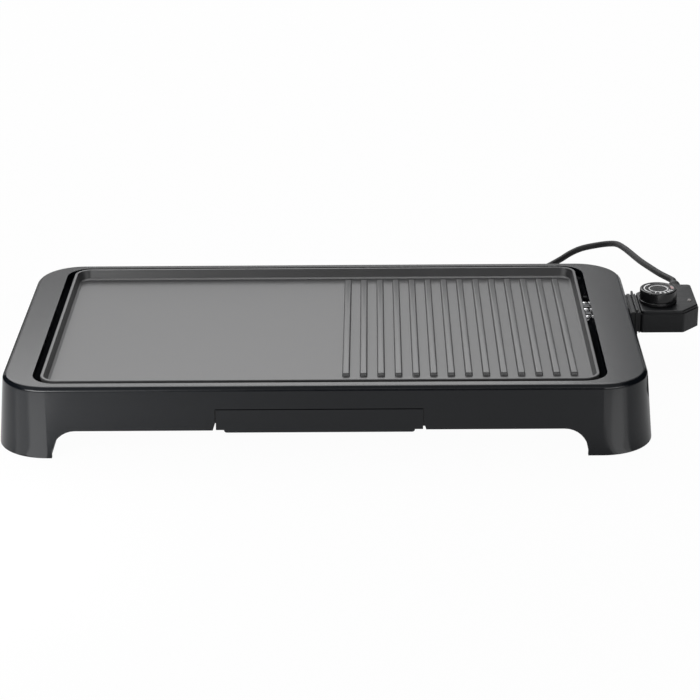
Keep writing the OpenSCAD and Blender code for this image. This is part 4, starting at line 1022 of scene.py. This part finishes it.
paper.links.new(blend.outputs[0], paper.nodes["Material Output"].inputs["Surface"])
floor_mesh.materials.append(floor_paper)
print("floor side:", 2 * FLOOR_HALF, "m")

# %% World
world = bpy.data.worlds.new("studio_world")
world.use_nodes = True
sky = world.node_tree.nodes["Background"]
sky.inputs["Color"].default_value = (0.97, 0.98, 1.0, 1)
sky.inputs["Strength"].default_value = 0.35
bpy.context.scene.world = world
bpy.context.scene.view_settings.view_transform = "Standard"
print("sky strength:", round(sky.inputs["Strength"].default_value, 2))

# %% [markdown]
# ## Cards round the object
# A glossy black moulding shows hardly any colour of its own: what is seen on it is its surroundings. In a
# studio, white and black cards beside such an object place the light and dark stretches on its corners,
# its bevel and its rim. Lamps could do that, but a lamp also lights all the rest. So each card here is a
# painted reflection: a flat mesh that only glossy rays see, which lights nothing and casts no shadow.
# Those named glow paint bright stretches and sheen, and the others paint dark stretches.

# %% Card outlines
CARD_Z = 0.0006


def lying(*corners):
    """Corners of a card that lies on the floor."""
    return [(x, y, CARD_Z) for x, y in corners]


def standing(a, b, low, high):
    """Corners of an upright card over the line from a to b."""
    return [(*a, low), (*b, low), (*b, high), (*a, high)]


# Cards that lie side by side meet along these lines.
SEAM_LEFT = [(-0.30, -0.165), (-0.315, -0.186), (-0.36, -0.23), (-0.44, -0.295), (-0.52, -0.36)]
SEAM_IN = [(0.226, -0.165), (0.233, -0.188), (0.254, -0.253), (0.30, -0.345), (0.35, -0.43)]
SEAM_OUT = [(0.236, -0.16), (0.246, -0.176), (0.297, -0.21), (0.378, -0.28), (0.48, -0.36)]
# Every card paints a reflection: the glow cards paint sheen and highlight lines, and the other cards and the
# flags paint dark stretches.
CARDS = {  # strength of its light, and outline
    "card_left": (0, lying((-0.36, 0.08), (-0.46, 0.90), (-1.4, 0.90), (-1.4, 0.08))),
    "card_right": (0, lying((0.435, 0.33), (0.49, 0.90), (1.4, 0.90), (1.4, 0.33))),
    "card_controller": (0, lying((0.28, -0.03), (0.34, -0.03), (0.34, 0.025), (0.28, 0.025))),
    "flag_left": (0, standing((-0.9, -0.45), (-0.9, 0.8), CARD_Z, 0.62)),
    "flag_right": (0, standing((0.9, -0.5), (0.9, 1.3), CARD_Z, 1.05)),
    "glow_left": (2.9, lying(
        (-0.275, -0.165), (-0.281, -0.205), (-0.297, -0.275), (-0.303, -0.403), (-0.312, -0.47),
        (-0.42, -0.46), *SEAM_LEFT[::-1])),
    "glow_left_edge": (1.6, lying(
        *SEAM_LEFT, (-0.56, -0.175), (-0.468, -0.168), (-0.38, -0.162), (-0.322, -0.158), (-0.305, -0.155))),
    "glow_right": (2.0, lying(*SEAM_IN, *SEAM_OUT[::-1])),
    "glow_right_in": (1.35, lying(
        (0.222, -0.165), (0.2265, -0.192), (0.238, -0.2605), (0.25, -0.372), (0.26, -0.46), *SEAM_IN[::-1])),
    "glow_right_out": (1.35, lying(
        *SEAM_OUT, (0.52, -0.31), (0.40, -0.248), (0.3035, -0.195), (0.2495, -0.165), (0.24, -0.158))),
    "glow_front": (2.2, standing((-0.62, -1.1), (-0.26, -1.1), 0.15, 1.26)),
    "glow_back": (0.5, standing((-2.4, 3.2), (0.6, 3.2), 0.05, 1.30)),
    "glow_top": (4.6, level_corners(-0.5, 0.28, 0.4, 0.92, 1.5)),
    "glow_tips": (2.2, standing((-0.08, -1.0), (0.48, -1.0), 0.63, 1.10)),
    "flag_front": (0, standing((-0.20, -1.3), (0.60, -1.3), CARD_Z, 0.80)),
    "glow_line": (3.0, standing((0.407, -1.035), (0.999, -0.605), 0.42, 0.70))}
print("cards:", len(CARDS))

# %% Cards


def reflection_card(name, glow, outline):
    """A flat card that only glossy surfaces see, so it paints a reflection: black paper, or paper that gives
    off an even light.
    """
    mesh = flat_mesh(name, outline)
    mesh.materials.append(finish(name, Base_Color=(0.01, 0.01, 0.01, 1), Specular_IOR_Level=0.0,
                                 Emission_Color=(1, 1, 1, 1), Emission_Strength=glow)[0])
    card = new_object(name, mesh)
    card.visible_camera = card.visible_diffuse = card.visible_shadow = card.visible_transmission = False


for card_name, (card_glow, card_outline) in CARDS.items():
    reflection_card(card_name, card_glow, card_outline)
print("cards that shine:", sum(glow > 0 for glow, _ in CARDS.values()))

# %% [markdown]
# ## Lamps
# Light comes from large soft sources, as in a studio. The one behind and the one overhead give the top
# faces their grey sheen, the panel and the two strips in front light the skirt and the controller, and a
# small low one brightens the left front corner. Area lamps do this better than points, because a glossy
# face mirrors their shape.

# %% Softboxes
LAMPS = {  # place, aim, size, radiance
    "softbox_back": ((-1.01, 2.6, 2.4), (0, 0, 0.05), (3.9, 2.4), 2.5),
    "softbox_overhead": ((-0.2, 0.9, 2.6), (-0.1, 0.2, 0.05), (2.6, 0.9), 1.5),
    "panel_front_left": ((-0.75, -1.75, 1.15), (-0.1, 0, 0.05), (0.9, 0.6), 1.3),
    "strip_front_left": ((-1.20, -1.40, 1.05), (0.2, 0.12, 0.06), (0.22, 0.8), 5.0),
    "strip_front_right": ((1.15, -1.40, 1.05), (-0.25, 0.12, 0.06), (0.22, 0.8), 5.0),
    "low_left": ((-0.42, -0.37, 0.16), (-0.38, -0.35, 0.0), (0.2, 0.2), 7.0)}


def softbox(name, at, aim, size, radiance):
    """An area lamp that looks from at to aim; its power is radiance times area times pi."""
    lamp = bpy.data.lights.new(name, "AREA")
    lamp.shape = "RECTANGLE"
    lamp.size, lamp.size_y = size
    lamp.energy = radiance * size[0] * size[1] * math.pi
    holder = new_object(name, lamp)
    back = np.subtract(at, aim) / np.linalg.norm(np.subtract(at, aim))
    side = np.cross((0, 0, 1), back)
    side = side / np.linalg.norm(side)
    holder.matrix_world = placed(side, np.cross(back, side), back, at)
    holder.visible_camera = False


for lamp_name, lamp_values in LAMPS.items():
    softbox(lamp_name, *lamp_values)
print("softboxes:", [lamp.name for lamp in bpy.data.lights])
